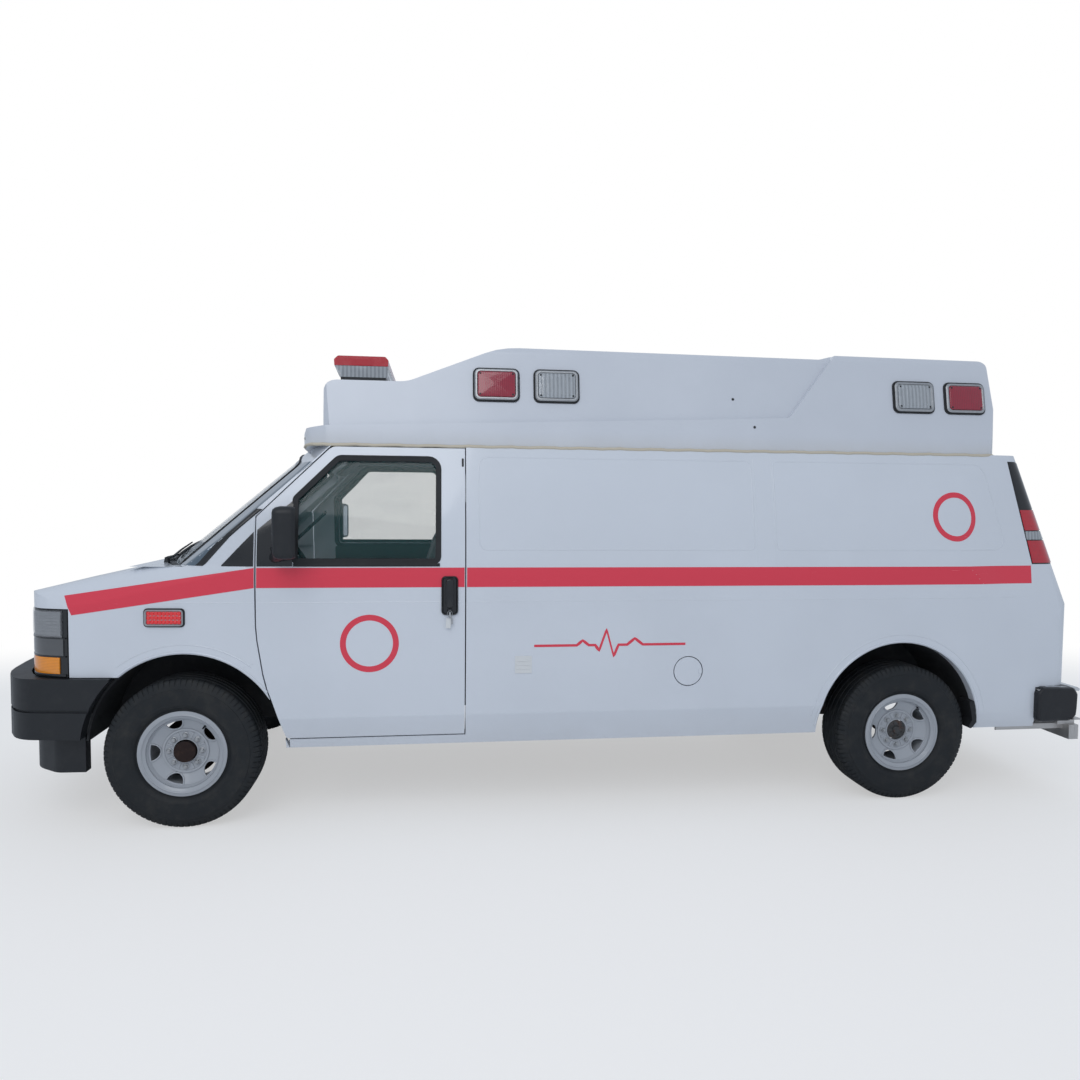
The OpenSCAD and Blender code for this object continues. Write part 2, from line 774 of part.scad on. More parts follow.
module front_left_tyre() color("black") from_axle() tyre(0, -front_track / 2);
module front_right_tyre() color("black") from_axle() tyre(0, front_track / 2);
module rear_left_tyre() color("black") from_axle() tyre(wheelbase, -rear_track / 2);
module rear_right_tyre() color("black") from_axle() tyre(wheelbase, rear_track / 2);
module front_left_rim() color("silver") from_axle() rim(0, -front_track / 2);
module front_right_rim() color("silver") from_axle() mirror_y() rim(0, -front_track / 2);
module rear_left_rim() color("silver") from_axle() rim(wheelbase, -rear_track / 2);
module rear_right_rim() color("silver") from_axle() mirror_y() rim(wheelbase, -rear_track / 2);

// Steering knuckle with its spindle and hub
module knuckle() {
  translate([-32, -kingpin_y - 30, 290]) cube([64, 60, 210]);
  translate([0, -kingpin_y - 29, tyre_r]) rotate([90, 0, 0]) cylinder(r = 40, h = 120);
  translate([0, -kingpin_y - 60, tyre_r]) rotate([90, 0, 0]) cylinder(r = 150, h = 20);
  translate([0, -front_track / 2 - 10, tyre_r]) rotate([90, 0, 0]) cylinder(r = hub_bore_r - 4, h = 62);
}

module left_knuckle() color("sienna") from_axle() knuckle();
module right_knuckle() color("sienna") from_axle() mirror_y() knuckle();

// ---- the whole van, with its origin under its middle ----

module from_axle() translate([-mid_x, 0, 0]) children();

floor();
left_side_wall();
right_side_wall();
high_roof();
front_fenders();
cab_frame();
windshield();
front_bumper();
grille();
headlights();
rear_frame();
tail_lamps();
rear_step();
dashboard();
cab_seats();
bulkhead();
squad_bench();
engine();
chassis_rails();
crossmembers();
front_suspension();
rear_axle();
exhaust();
fuel_tank();
light_bar();
warning_lights();
steering_wheel();
left_knuckle();
right_knuckle();
front_left_tyre();
front_right_tyre();
rear_left_tyre();
rear_right_tyre();
front_left_rim();
front_right_rim();
rear_left_rim();
rear_right_rim();
front_left_door();
front_right_door();
front_left_window();
front_right_window();
left_mirror();
right_mirror();
side_door_front();
side_door_rear();
rear_left_door();
rear_right_door();
rear_left_window();
rear_right_window();
hood();
fuel_door();
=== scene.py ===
import json
import math
import random

import bmesh
import bpy
from mathutils import Matrix, Vector
from mathutils.bvhtree import BVHTree


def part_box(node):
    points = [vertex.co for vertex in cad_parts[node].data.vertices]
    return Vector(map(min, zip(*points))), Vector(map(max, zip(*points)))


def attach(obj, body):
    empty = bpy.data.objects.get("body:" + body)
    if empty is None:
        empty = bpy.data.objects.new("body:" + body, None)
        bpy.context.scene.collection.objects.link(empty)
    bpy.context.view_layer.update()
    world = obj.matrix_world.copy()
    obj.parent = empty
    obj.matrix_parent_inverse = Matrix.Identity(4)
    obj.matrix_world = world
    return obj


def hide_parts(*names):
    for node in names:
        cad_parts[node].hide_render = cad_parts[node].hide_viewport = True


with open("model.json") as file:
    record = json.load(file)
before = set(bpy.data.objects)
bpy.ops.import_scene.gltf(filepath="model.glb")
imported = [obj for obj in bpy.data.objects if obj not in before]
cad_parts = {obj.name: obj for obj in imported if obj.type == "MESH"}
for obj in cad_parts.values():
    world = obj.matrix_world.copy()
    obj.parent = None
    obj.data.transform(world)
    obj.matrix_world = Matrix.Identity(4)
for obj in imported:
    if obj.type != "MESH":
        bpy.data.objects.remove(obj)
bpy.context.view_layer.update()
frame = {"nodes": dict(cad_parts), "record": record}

nodes = frame["nodes"]
scene = bpy.context.scene
random.seed(7)


def middleOf(node):
    low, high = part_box(node)
    return (low + high) / 2


axleX = middleOf("front_left_tyre").x


def pt(x, y, z):
    # A point in millimetres: back from the front axle, right of the middle, up from the ground
    return Vector((axleX + x / 1000, y / 1000, z / 1000))


# Camera, light and floor

view = {
    "x": 1295, "y": -5199, "z": 1702,  # where the lens stands
    "yaw": 7.26, "pitch": -2.88, "roll": 0.51,  # degrees
    "lens": 26.67,
}


def makeCamera():
    yaw, pitch, roll = (math.radians(view[k]) for k in ("yaw", "pitch", "roll"))
    ahead = Vector((math.sin(yaw) * math.cos(pitch), math.cos(yaw) * math.cos(pitch), math.sin(pitch)))
    level = Vector((math.cos(yaw), -math.sin(yaw), 0))
    over = level.cross(ahead)
    right = level * math.cos(roll) + over * math.sin(roll)
    up = over * math.cos(roll) - level * math.sin(roll)
    camera = bpy.data.objects.new("camera", bpy.data.cameras.new("camera"))
    camera.data.lens = view["lens"]
    camera.data.sensor_width = 36
    camera.data.clip_end = 200
    turn = Matrix((right, up, -ahead)).transposed()
    camera.matrix_world = Matrix.Translation(pt(view["x"], view["y"], view["z"])) @ turn.to_4x4()
    scene.collection.objects.link(camera)
    scene.camera = camera


makeCamera()
print("camera placed")


# Finishes

def isWire(thing):
    return isinstance(thing, Wire)


class Wire:
    # One output of a node; arithmetic on it adds Math or Vector Math nodes beside it
    def __init__(self, nodes, socket):
        self.nodes = nodes
        self.socket = socket
        self.many = socket.type in ("VECTOR", "RGBA")

    def sum(self, operation, a, b):
        many = (isWire(a) and a.many) or (isWire(b) and b.many)
        kind = "ShaderNodeVectorMath" if many else "ShaderNodeMath"
        return self.nodes.node(kind, {"operation": operation}, {0: spread(a, many), 1: spread(b, many)})

    def __add__(self, other):
        return self.sum("ADD", self, other)

    def __radd__(self, other):
        return self.sum("ADD", other, self)

    def __sub__(self, other):
        return self.sum("SUBTRACT", self, other)

    def __rsub__(self, other):
        return self.sum("SUBTRACT", other, self)

    def __mul__(self, other):
        return self.sum("MULTIPLY", self, other)

    def __rmul__(self, other):
        return self.sum("MULTIPLY", other, self)

    def __truediv__(self, other):
        return self.sum("DIVIDE", self, other)

    def __rtruediv__(self, other):
        return self.sum("DIVIDE", other, self)


def spread(thing, many):
    return (thing, thing, thing) if many and isinstance(thing, (int, float)) else thing


class Nodes:
    # The nodes of a material or of the world
    def __init__(self, tree):
        self.tree = tree

    def node(self, kind, settings, sockets, output=None):
        made = self.tree.nodes.new(kind)
        for key, value in settings.items():
            setattr(made, key, value)
        for key, value in sockets.items():
            if isWire(value):
                self.tree.links.new(value.socket, made.inputs[key])
            else:
                made.inputs[key].default_value = value
        if output is None:
            output = next((i for i, o in enumerate(made.outputs) if o.enabled), None)
        return None if output is None else Wire(self, made.outputs[output])


class Finish(Nodes):
    # A material being made: its shader's constants are given, what varies is fed in
    def __init__(self, name, colour=(0.5, 0.5, 0.5), **constants):
        self.material = bpy.data.materials.new(name)
        self.material.use_nodes = True
        super().__init__(self.material.node_tree)
        self.shader = self.tree.nodes["Principled BSDF"]
        self.shader.inputs["Base Color"].default_value = (*colour, 1)
        self.material.diffuse_color = (*colour, 1)
        for words, value in constants.items():
            self.shader.inputs[words.replace("_", " ")].default_value = value

    def here(self):
        return self.node("ShaderNodeTexCoord", {}, {}, "Object")

    def xyz(self):
        split = self.node("ShaderNodeSeparateXYZ", {}, {0: self.here()}).socket.node
        return [Wire(self, output) for output in split.outputs]

    def noise(self, scale, detail=2.0, rough=0.5, stretch=None):
        place = self.here()
        if stretch:
            place = place * Vector(stretch)
        return self.node("ShaderNodeTexNoise", {}, {"Vector": place, "Scale": scale, "Detail": detail,
                                                    "Roughness": rough}, "Fac")

    def step(self, value, low, high, start=0.0, end=1.0):
        return self.node("ShaderNodeMapRange", {"interpolation_type": "SMOOTHSTEP"},
                         {0: value, 1: low, 2: high, 3: start, 4: end})

    def mix(self, factor, a, b):
        four = [(*c, 1) if isinstance(c, tuple) and len(c) == 3 else c for c in (a, b)]
        return self.node("ShaderNodeMix", {"data_type": "RGBA"}, {0: factor, 6: four[0], 7: four[1]}, 2)

    def feed(self, socket, wire):
        self.tree.links.new(wire.socket, self.shader.inputs[socket])

    def bump(self, height, distance, strength=1.0):
        sockets = {"Height": height, "Distance": distance, "Strength": strength}
        self.feed("Normal", self.node("ShaderNodeBump", {}, sockets))


paints = {
    "white": (0.70, 0.735, 0.79),
    "roof": (0.66, 0.69, 0.745),
    "red film": (0.78, 0.055, 0.09),
    "charcoal": (0.0085, 0.0105, 0.0135),
    "gloss black": (0.006, 0.007, 0.009),
    "rubber": (0.012, 0.013, 0.015),
    "tyre": (0.0055, 0.008, 0.0105),
    "silver": (0.40, 0.42, 0.45),
    "sealant": (0.60, 0.54, 0.43),
}


def bodyPaint(name, colour, rough):
    # Gloss coat over a faintly uneven coat, with road dust low down
    paint = Finish(name, colour, Coat_Weight=0.6, Coat_Roughness=0.06, IOR=1.5)
    z = paint.xyz()[2]
    cloud = paint.noise(1.7, 3)
    dust = paint.step(z, 0.60, 0.40) * paint.noise(9, 4, 0.65) * 0.16
    tone = paint.mix(paint.step(cloud, 0.3, 0.7), tuple(c * 0.965 for c in colour), colour)
    paint.feed("Base Color", paint.mix(dust, tone, (0.42, 0.39, 0.34)))
    paint.feed("Roughness", rough + paint.noise(6, 3) * 0.08 + dust * 0.5)
    paint.bump(paint.noise(260, 1), 0.00004, 0.35)
    return paint.material


def roofShell(name):
    # Sprayed fibreglass: softer gloss, slow waves, grime near the seam
    paint = Finish(name, paints["roof"], Coat_Weight=0.35, Coat_Roughness=0.18)
    z = paint.xyz()[2]
    grime = paint.step(z, 2.09, 1.99) * paint.noise(5, 5, 0.7) * 0.35
    cloud = paint.noise(1.1, 4, 0.6)
    tone = paint.mix(paint.step(cloud, 0.35, 0.7), (0.625, 0.655, 0.71), paints["roof"])
    paint.feed("Base Color", paint.mix(grime, tone, (0.50, 0.45, 0.36)))
    paint.feed("Roughness", 0.26 + paint.noise(7, 3) * 0.12)
    paint.bump(paint.noise(3.2, 2) + paint.noise(90, 2) * 0.03, 0.002, 0.25)
    return paint.material


def film(name, colour):
    # Cut vinyl: even colour with faint orange peel and a few paler scuffs
    vinyl = Finish(name, colour, IOR=1.46)
    scuff = vinyl.step(vinyl.noise(26, 5, 0.7, stretch=(0.25, 1, 2.4)), 0.66, 0.74) * 0.18
    vinyl.feed("Base Color", vinyl.mix(scuff, colour, tuple(min(1, c + 0.18) for c in colour)))
    vinyl.feed("Roughness", 0.22 + scuff + vinyl.noise(8, 2) * 0.06)
    vinyl.bump(vinyl.noise(420, 1), 0.00003, 0.4)
    return vinyl.material


def moulded(name, colour, rough=0.5, grain=900, depth=0.00012, dust=0.05):
    # Textured plastic or rubber: leather-like grain, dust lying in it
    stuff = Finish(name, colour)
    cells = stuff.node("ShaderNodeTexVoronoi", {"feature": "SMOOTH_F1"},
                       {"Vector": stuff.here(), "Scale": grain}, "Distance")
    dirt = stuff.step(stuff.noise(13, 5, 0.65), 0.45, 0.85) * dust * 0.5
    stuff.feed("Base Color", stuff.mix(dirt, colour, (0.34, 0.32, 0.29)))
    stuff.feed("Roughness", rough + stuff.noise(21, 3) * 0.12 + dirt)
    stuff.bump(cells, depth, 0.5)
    return stuff.material


def smooth(name, colour, rough=0.12, coat=0.5, wear=0.06):
    # Shiny paint or plastic with faint haze and fine scratches
    stuff = Finish(name, colour, Coat_Weight=coat, Coat_Roughness=0.05)
    haze = stuff.noise(7, 4, 0.6)
    scratch = stuff.step(stuff.noise(60, 3, 0.7, stretch=(0.15, 0.15, 3)), 0.68, 0.76) * wear
    stuff.feed("Base Color", stuff.mix(scratch, colour, tuple(min(1, c * 0.8 + 0.12) for c in colour)))
    stuff.feed("Roughness", rough + haze * 0.08 + scratch)
    stuff.bump(stuff.noise(300, 1), 0.00003, 0.3)
    return stuff.material


def metal(name, colour, rough=0.3, rust=0.0, scale=60):
    # Bare or plated metal: brushed lines, tarnish and, where it is neglected, rust
    bare = Finish(name, colour, IOR=1.5)
    lines = bare.noise(scale, 4, 0.7)
    spots = bare.step(bare.noise(17, 6, 0.72), 0.62 - rust * 0.4, 0.78 - rust * 0.3) * min(1, rust * 1.4)
    tone = bare.mix(bare.step(lines, 0.3, 0.75), tuple(c * 0.82 for c in colour), colour)
    bare.feed("Base Color", bare.mix(spots, tone, (0.13, 0.055, 0.03)))
    bare.feed("Metallic", 1.0 - spots)
    bare.feed("Roughness", rough + lines * 0.14 + spots * 0.4)
    bare.bump(lines + spots * 0.6, 0.00015, 0.35)
    return bare.material


def pane(name, colour, alpha, rough=0.03):
    # Tinted safety glass; the light goes straight through it
    glass = Finish(name, colour, Specular_IOR_Level=0.7, Coat_Weight=0.5, Coat_Roughness=0.02)
    smear = glass.step(glass.noise(4, 5, 0.65, stretch=(0.5, 1, 1.6)), 0.5, 0.9)
    glass.feed("Alpha", alpha + smear * 0.05)
    glass.feed("Roughness", rough + smear * 0.08)
    glass.material.surface_render_method = "BLENDED"
    return glass.material


def lens(name, colour, alpha=1.0, pitch=110.0, along=0, deep=0.0012, glow=0.0):
    # Moulded lamp lens with prism ribs; along says which axis they follow each other on
    cover = Finish(name, colour, Coat_Weight=0.8, Coat_Roughness=0.03, IOR=1.5)
    x, y, z = cover.xyz()
    run = (x, y, z)[along]
    ribs = cover.node("ShaderNodeMath", {"operation": "PINGPONG"}, {0: run, 1: 0.5 / pitch}) * (2 * pitch)
    # The lens colour darkens into each rib's trough: painted shade, mixed with random tone from noise
    ribShadeTone = tuple(c * 0.55 for c in colour)
    cover.feed("Base Color", cover.mix(ribs * 0.6 + cover.noise(30, 2) * 0.4, ribShadeTone, colour))
    cover.feed("Roughness", 0.08 + ribs * 0.08)
    if alpha < 1:
        cover.feed("Alpha", alpha + ribs * 0.12)
        cover.material.surface_render_method = "BLENDED"
    if glow:
        cover.shader.inputs["Emission Color"].default_value = (*colour, 1)
        cover.shader.inputs["Emission Strength"].default_value = glow
    cover.bump(ribs, deep, 0.35)
    return cover.material


def tyreRubber(name):
    # Black rubber gone slightly grey, with brown dust in the tread
    rubber = Finish(name, paints["tyre"])
    dust = rubber.step(rubber.noise(15, 5, 0.65), 0.4, 0.85) * 0.10
    rubber.feed("Base Color", rubber.mix(dust, paints["tyre"], (0.22, 0.19, 0.15)))
    rubber.feed("Roughness", 0.62 + rubber.noise(30, 3) * 0.15)
    rubber.bump(rubber.noise(420, 3, 0.7), 0.0003, 0.45)
    return rubber.material


def upholstery(name, colour, weave=900.0):
    # Cloth-backed vinyl: fine weave, soft sheen in the creases
    cloth = Finish(name, colour, Sheen_Weight=0.25)
    wave = {"wave_type": "BANDS", "bands_direction": "X"}
    warp = cloth.node("ShaderNodeTexWave", wave, {"Scale": weave / 8, "Distortion": 0.4}, "Fac")
    weft = cloth.node("ShaderNodeTexWave", {**wave, "bands_direction": "Z"}, {"Scale": weave / 8}, "Fac")
    worn = cloth.step(cloth.noise(5, 4, 0.6), 0.45, 0.8) * 0.3
    cloth.feed("Base Color", cloth.mix(worn, colour, tuple(min(1, c * 1.5 + 0.02) for c in colour)))
    cloth.feed("Roughness", 0.62 + worn * 0.2)
    cloth.bump(warp * weft + cloth.noise(40, 3) * 0.6, 0.0004, 0.4)
    return cloth.material


def board(name, colour):
    # Laminated panel: smooth with a faint stipple
    laminate = Finish(name, colour, Coat_Weight=0.15, Coat_Roughness=0.2)
    stain = laminate.step(laminate.noise(3, 5, 0.65), 0.5, 0.9) * 0.12
    laminate.feed("Base Color", laminate.mix(stain, colour, tuple(c * 0.8 for c in colour)))
    laminate.feed("Roughness", 0.34 + laminate.noise(25, 2) * 0.1)
    laminate.bump(laminate.noise(500, 2), 0.00008, 0.4)
    return laminate.material


def treadPlate(name, colour):
    # Polished plate with raised lozenges, turned left and right by turns
    plate = Finish(name, colour, IOR=1.5)
    x, y, z = plate.xyz()
    size = 0.026  # of one lozenge and its space, in metres
    u = (x + y) / size
    v = (x - y) / size
    cell = {"operation": "FRACT"}
    a = plate.node("ShaderNodeMath", cell, {0: u}) - 0.5
    b = plate.node("ShaderNodeMath", cell, {0: v}) - 0.5
    lozenge = plate.step((a * a) * 14.0 + (b * b) * 80.0, 1.0, 0.5)
    wear = plate.noise(14, 4, 0.6)
    plate.feed("Base Color", plate.mix(wear, tuple(c * 0.8 for c in colour), colour))
    plate.feed("Metallic", 0.9 + lozenge * 0.1)
    plate.feed("Roughness", 0.34 - lozenge * 0.14 + wear * 0.1)
    plate.bump(lozenge, 0.0016, 0.8)
    return plate.material


finish = {
    "white_paint": bodyPaint("white gloss paint", paints["white"], 0.16),
    "roof_gelcoat": roofShell("roof gelcoat"),
    "underbody": moulded("underseal", (0.022, 0.023, 0.025), 0.7, 300, 0.0006, 0.18),
    "clear_glass": pane("windscreen glass", (0.16, 0.23, 0.25), 0.34),
    "tinted_glass": pane("door glass", (0.04, 0.135, 0.13), 0.16),
    "privacy_glass": pane("dark rear glass", (0.01, 0.013, 0.015), 0.88),
    "black_plastic": moulded("charcoal bumper plastic", paints["charcoal"], 0.42, 1100, 0.00008, 0.05),
    "grille_plastic": moulded("grey grille plastic", (0.035, 0.038, 0.042), 0.4, 1200, 0.00006),
    "headlamp_lens": lens("headlamp lens", (0.42, 0.43, 0.45), 0.32, 60, 2, 0.0006),
    "tail_lens": lens("tail lamp red", (0.64, 0.008, 0.028), 1.0, 130, 2, 0.0008),
    "bright_metal": treadPlate("polished tread plate", (0.62, 0.60, 0.58)),
    "dash_plastic": moulded("dashboard skin", (0.022, 0.027, 0.034), 0.6, 700, 0.0002),
    "seat_vinyl": upholstery("grey seat vinyl", (0.085, 0.092, 0.10)),
    "partition_board": board("partition laminate", (0.58, 0.60, 0.60)),
    "cabinet_board": board("cabinet laminate", (0.62, 0.64, 0.65)),
    "engine_block": metal("engine iron", (0.20, 0.20, 0.205), 0.5, 0.25, 30),
    "chassis_black": moulded("chassis paint", (0.018, 0.018, 0.02), 0.55, 260, 0.0004, 0.16),
    "axle_black": metal("axle iron", (0.11, 0.11, 0.11), 0.5, 0.45, 24),
    "exhaust_steel": metal("exhaust steel", (0.40, 0.37, 0.33), 0.42, 0.35, 22),
    "tank_plastic": moulded("tank plastic", (0.03, 0.03, 0.033), 0.6, 240, 0.0005, 0.12),
    "beacon_lens": lens("beacon red", (0.72, 0.012, 0.03), 0.82, 140, 1, 0.0008),
    "warning_lens": lens("warning lamp red", (0.38, 0.012, 0.04), 1.0, 90, 0, 0.0007),
    "wheel_grip": moulded("steering wheel grip", (0.03, 0.033, 0.037), 0.5, 800, 0.0002),
    "hub_iron": metal("hub iron", (0.05, 0.036, 0.034), 0.5, 0.25, 30),
    "tyre": tyreRubber("tyre rubber"),
    "rim_steel": smooth("silver wheel paint", paints["silver"], 0.28, 0.3, 0.12),
    "red_film": film("red vinyl film", paints["red film"]),
    "black_trim": smooth("gloss black trim", paints["gloss black"], 0.18, 0.4),
    "rubber_seal": moulded("rubber seal", paints["rubber"], 0.6, 500, 0.0002),
    "screen_edge": smooth("windscreen edge", (0.085, 0.125, 0.165), 0.06, 0.9, 0.02),
    "wrapping": moulded("black wrapping film", (0.008, 0.009, 0.012), 0.25, 22, 0.004, 0.02),
    "chrome_trim": metal("chrome", (0.78, 0.79, 0.80), 0.08, 0.02, 40),
    "amber_lens": lens("amber lens", (0.90, 0.30, 0.012), 1.0, 130, 2, 0.0008, 0.12),
    "clear_lens": lens("clear lens", (0.62, 0.66, 0.70), 0.62, 46, 0, 0.0012),
    "red_lens": lens("led red", (0.75, 0.02, 0.025), 1.0, 400, 2, 0.0004, 0.25),
    "smoked_reflector": smooth("smoked reflector", (0.09, 0.093, 0.098), 0.22, 0.6),
    "plated_steel": metal("plated steel", (0.50, 0.51, 0.52), 0.28, 0.08, 80),
    "plate_white": board("blank plate", (0.72, 0.73, 0.73)),
    "mirror_glass": metal("mirror", (0.80, 0.83, 0.85), 0.02, 0.0, 4),
    "sealant": moulded("cream sealant", paints["sealant"], 0.5, 300, 0.0003, 0.1),
    "bench_vinyl": upholstery("blue bench vinyl", (0.035, 0.075, 0.16)),
    # Near-black plastic for the vents and the light bar's insides, also used as painted shade in the wheels'
    # lug holes
    "pocket_dark": moulded("black plastic and painted shade", (0.008, 0.008, 0.009), 0.8, 300, 0.0002),
}
print("finishes made:", len(finish))


# Making shapes

class Shape:
    # Collects points and faces in metres; place moves what is added next
    def __init__(self):
        self.points, self.faces, self.coats, self.coat = [], [], [], 0
        self.place = Matrix.Identity(4)

    def add(self, points, faces):
        base = len(self.points)
        self.points += [self.place @ Vector(p) for p in points]
        self.faces += [[base + i for i in face] for face in faces]
        self.coats += [self.coat] * len(faces)

    def loops(self, rings, around=True, ends=True, ring=False):
        # Rings with the same number of points, joined in turn; ring closes the last to the first
        n = len(rings[0])
        faces = []
        for i in range(len(rings) if ring else len(rings) - 1):
            low, high = i * n, (i + 1) % len(rings) * n
            for j in range(n if around else n - 1):
                k = (j + 1) % n
                faces.append((low + j, low + k, high + k, high + j))
        if ends and not ring:
            faces += [tuple(reversed(range(n))), tuple((len(rings) - 1) * n + j for j in range(n))]
        self.add([p for r in rings for p in r], faces)

    def block(self, low, high):
        x, y, z = zip(low, high)
        self.loops([[(x[0], y[0], h), (x[1], y[0], h), (x[1], y[1], h), (x[0], y[1], h)] for h in z])

    def slab(self, outline, back, front, soft=0.0, crown=0.0):
        # An outline in u and v, thick along w, with its front edge rounded and its face crowned
        rings = [[(u, v, back) for u, v in outline], [(u, v, front - soft) for u, v in outline]]
        if soft:
            for part in (30, 60, 90):
                a = math.radians(part)
                inner = shrunk(outline, soft * (1 - math.cos(a)))
                rings.append([(u, v, front - soft + soft * math.sin(a)) for u, v in inner])
        if crown:
            edge = [(u, v) for u, v, w in rings[-1]]
            for part in (0.75, 0.5, 0.25, 0.07):
                rings.append([(u * part, v * part, front + crown * (1 - part ** 2)) for u, v in edge])
        self.loops(rings)

    def rim(self, outer, inner, back, front, soft=0.0):
        # A frame between two outlines with the same number of points
        rings = [[(u, v, back) for u, v in outer], [(u, v, front - soft) for u, v in outer]]
        if soft:
            rings.append([(u, v, front) for u, v in shrunk(outer, soft)])
            rings.append([(u, v, front) for u, v in shrunk(inner, -soft)])
        else:
            rings.append([(u, v, front) for u, v in inner])
        rings += [[(u, v, front - soft) for u, v in inner], [(u, v, back) for u, v in inner]]
        self.loops(rings, ring=True)

    def lathe(self, profile, turns=64, closed=True):
        # Points of radius and height, turned about w; a closed profile makes a ring
        rings = []
        for i in range(turns):
            a = 2 * math.pi * i / turns
            rings.append([(r * math.cos(a), r * math.sin(a), h) for r, h in profile])
        self.loops(rings, around=closed, ends=False, ring=True)

    def tube(self, path, radius, sides=10, ring=False):
        # A round bar along points; radius may be a list
        path = [Vector(p) for p in path]
        n = len(path)
        radii = radius if isinstance(radius, (list, tuple)) else [radius] * n
        rings, across = [], None
        for i, p in enumerate(path):
            ends = (i - 1, (i + 1) % n) if ring else (max(i - 1, 0), min(i + 1, n - 1))
            ahead = path[ends[1]] - path[ends[0]]
            ahead.normalize()
            if across is None:
                across = ahead.orthogonal()
            across = (across - ahead * across.dot(ahead)).normalized()
            over = ahead.cross(across)
            spokes = [2 * math.pi * k / sides for k in range(sides)]
            rings.append([p + (across * math.cos(a) + over * math.sin(a)) * radii[i] for a in spokes])
        self.loops(rings, ends=not ring, ring=ring)

    def make(self, name, body, coats, slot=None, smooth=35, bevel=0.0, parts=2):
        mesh = bpy.data.meshes.new(name)
        mesh.from_pydata(self.points, [], self.faces)
        work = bmesh.new()
        work.from_mesh(mesh)
        bmesh.ops.recalc_face_normals(work, faces=work.faces)
        work.to_mesh(mesh)
        work.free()
        coats = [coats] if isinstance(coats, str) else coats
        for coat in coats:
            mesh.materials.append(finish[coat])
        mesh.polygons.foreach_set("material_index", self.coats)
        piece = bpy.data.objects.new(name, mesh)
        scene.collection.objects.link(piece)
        soften(piece, smooth, bevel, parts)
        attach(piece, body)
        return piece


def soften(piece, smooth=35, bevel=0.0, parts=2):
    # Round the edges a little and let the flat faces keep their own normals
    mesh = piece.data
    mesh.polygons.foreach_set("use_smooth", [True] * len(mesh.polygons))
    mesh.set_sharp_from_angle(angle=math.radians(smooth))
    if bevel:
        edge = piece.modifiers.new("edges", "BEVEL")
        edge.width = bevel
        edge.segments = parts
        edge.angle_limit = math.radians(smooth)
        edge.harden_normals = False
        mesh.set_sharp_from_angle(angle=math.radians(89))
    piece.modifiers.new("normals", "WEIGHTED_NORMAL").keep_sharp = True


def arc(cx, cy, r, start, end, n=6):
    # Points of an arc, in degrees
    steps = [math.radians(start + (end - start) * i / n) for i in range(n + 1)]
    return [(cx + r * math.cos(a), cy + r * math.sin(a)) for a in steps]


def pill(w, h, r, n=5):
    # A rectangle with round corners about the origin
    w, h = w / 2 - r, h / 2 - r
    corners = ((w, h, 0), (-w, h, 90), (-w, -h, 180), (w, -h, 270))
    return [p for cx, cy, a in corners for p in arc(cx, cy, r, a, a + 90, n)]


def roundCorners(rows, n=5):
    # rows: x, z, corner radius
    points = []
    for i, (x, z, r) in enumerate(rows):
        b = Vector((x, z))
        if not r:
            points.append((x, z))
            continue
        u = (Vector(rows[i - 1][:2]) - b).normalized()
        v = (Vector(rows[(i + 1) % len(rows)][:2]) - b).normalized()
        half = math.acos(max(-1, min(1, u.dot(v)))) / 2
        centre = b + (u + v).normalized() * r / math.sin(half)
        start = b + u * r / math.tan(half) - centre
        sweep = (math.pi - 2 * half) * (1 if v.x * u.y - v.y * u.x > 0 else -1)
        for k in range(n + 1):
            a = sweep * k / n
            c, s = math.cos(a), math.sin(a)
            points.append(tuple(centre + Vector((start.x * c - start.y * s, start.x * s + start.y * c))))
    return points


def shrunk(outline, d):
    # The same outline moved inwards by d
    n = len(outline)
    area = sum(outline[i - 1][0] * outline[i][1] - outline[i][0] * outline[i - 1][1] for i in range(n))
    turn = 1 if area > 0 else -1
    moved = []
    for i in range(n):
        a, b, c = (Vector(outline[j % n]) for j in (i - 1, i, i + 1))
        e, f = (b - a), (c - b)
        e = e.normalized() if e.length > 1e-9 else f.normalized()
        f = f.normalized() if f.length > 1e-9 else e
        n1, n2 = Vector((-e.y, e.x)) * turn, Vector((-f.y, f.x)) * turn
        moved.append(tuple(b + (n1 + n2) * d / max(0.3, 1 + n1.dot(n2))))
    return moved


def metres(outline):
    return [(u / 1000, v / 1000) for u, v in outline]


def standing(origin, u, w):
    # A place whose u runs along the wall, w stands off it, and v is at right angles to both
    w = Vector(w).normalized()
    u = (Vector(u) - w * Vector(u).dot(w)).normalized()
    turn = Matrix((u, w.cross(u), w)).transposed().to_4x4()
    return Matrix.Translation(origin) @ turn


# Lying on the body's skin

skins = {}


def skin(*names):
    if names not in skins:
        points, faces = [], []
        for name in names:
            mesh = nodes[name].data
            base = len(points)
            points += [v.co.copy() for v in mesh.vertices]
            faces += [[base + i for i in p.vertices] for p in mesh.polygons]
        skins[names] = BVHTree.FromPolygons(points, faces)
    return skins[names]


def onSkin(tree, start, towards):
    # Where a ray first meets the skin, and the skin's normal there, facing the ray
    hit, normal, _, _ = tree.ray_cast(start, towards)
    if hit is None:
        return None
    return hit, (normal if normal.dot(towards) < 0 else -normal)


def besideOf(x, z, side):
    return pt(x, side * 1400, z), Vector((0, -side, 0))


def patch(shape, tree, rays, lift, sink):
    # A thin solid over a grid of rays that meet the skin; lift is one number or one for each column
    top, under = [], []
    for row in rays:
        hits = [onSkin(tree, *ray) for ray in row]
        if None in hits:
            continue
        lifts = lift if isinstance(lift, (list, tuple)) else [lift] * len(hits)
        top.append([h + n * up / 1000 for (h, n), up in zip(hits, lifts)])
        under.append([h - n * sink / 1000 for h, n in hits])
    if len(top) > 1:
        shape.loops([list(t) + list(reversed(b)) for t, b in zip(top, under)])


def between(a, b, n):
    return [a + (b - a) * i / n for i in range(n + 1)]


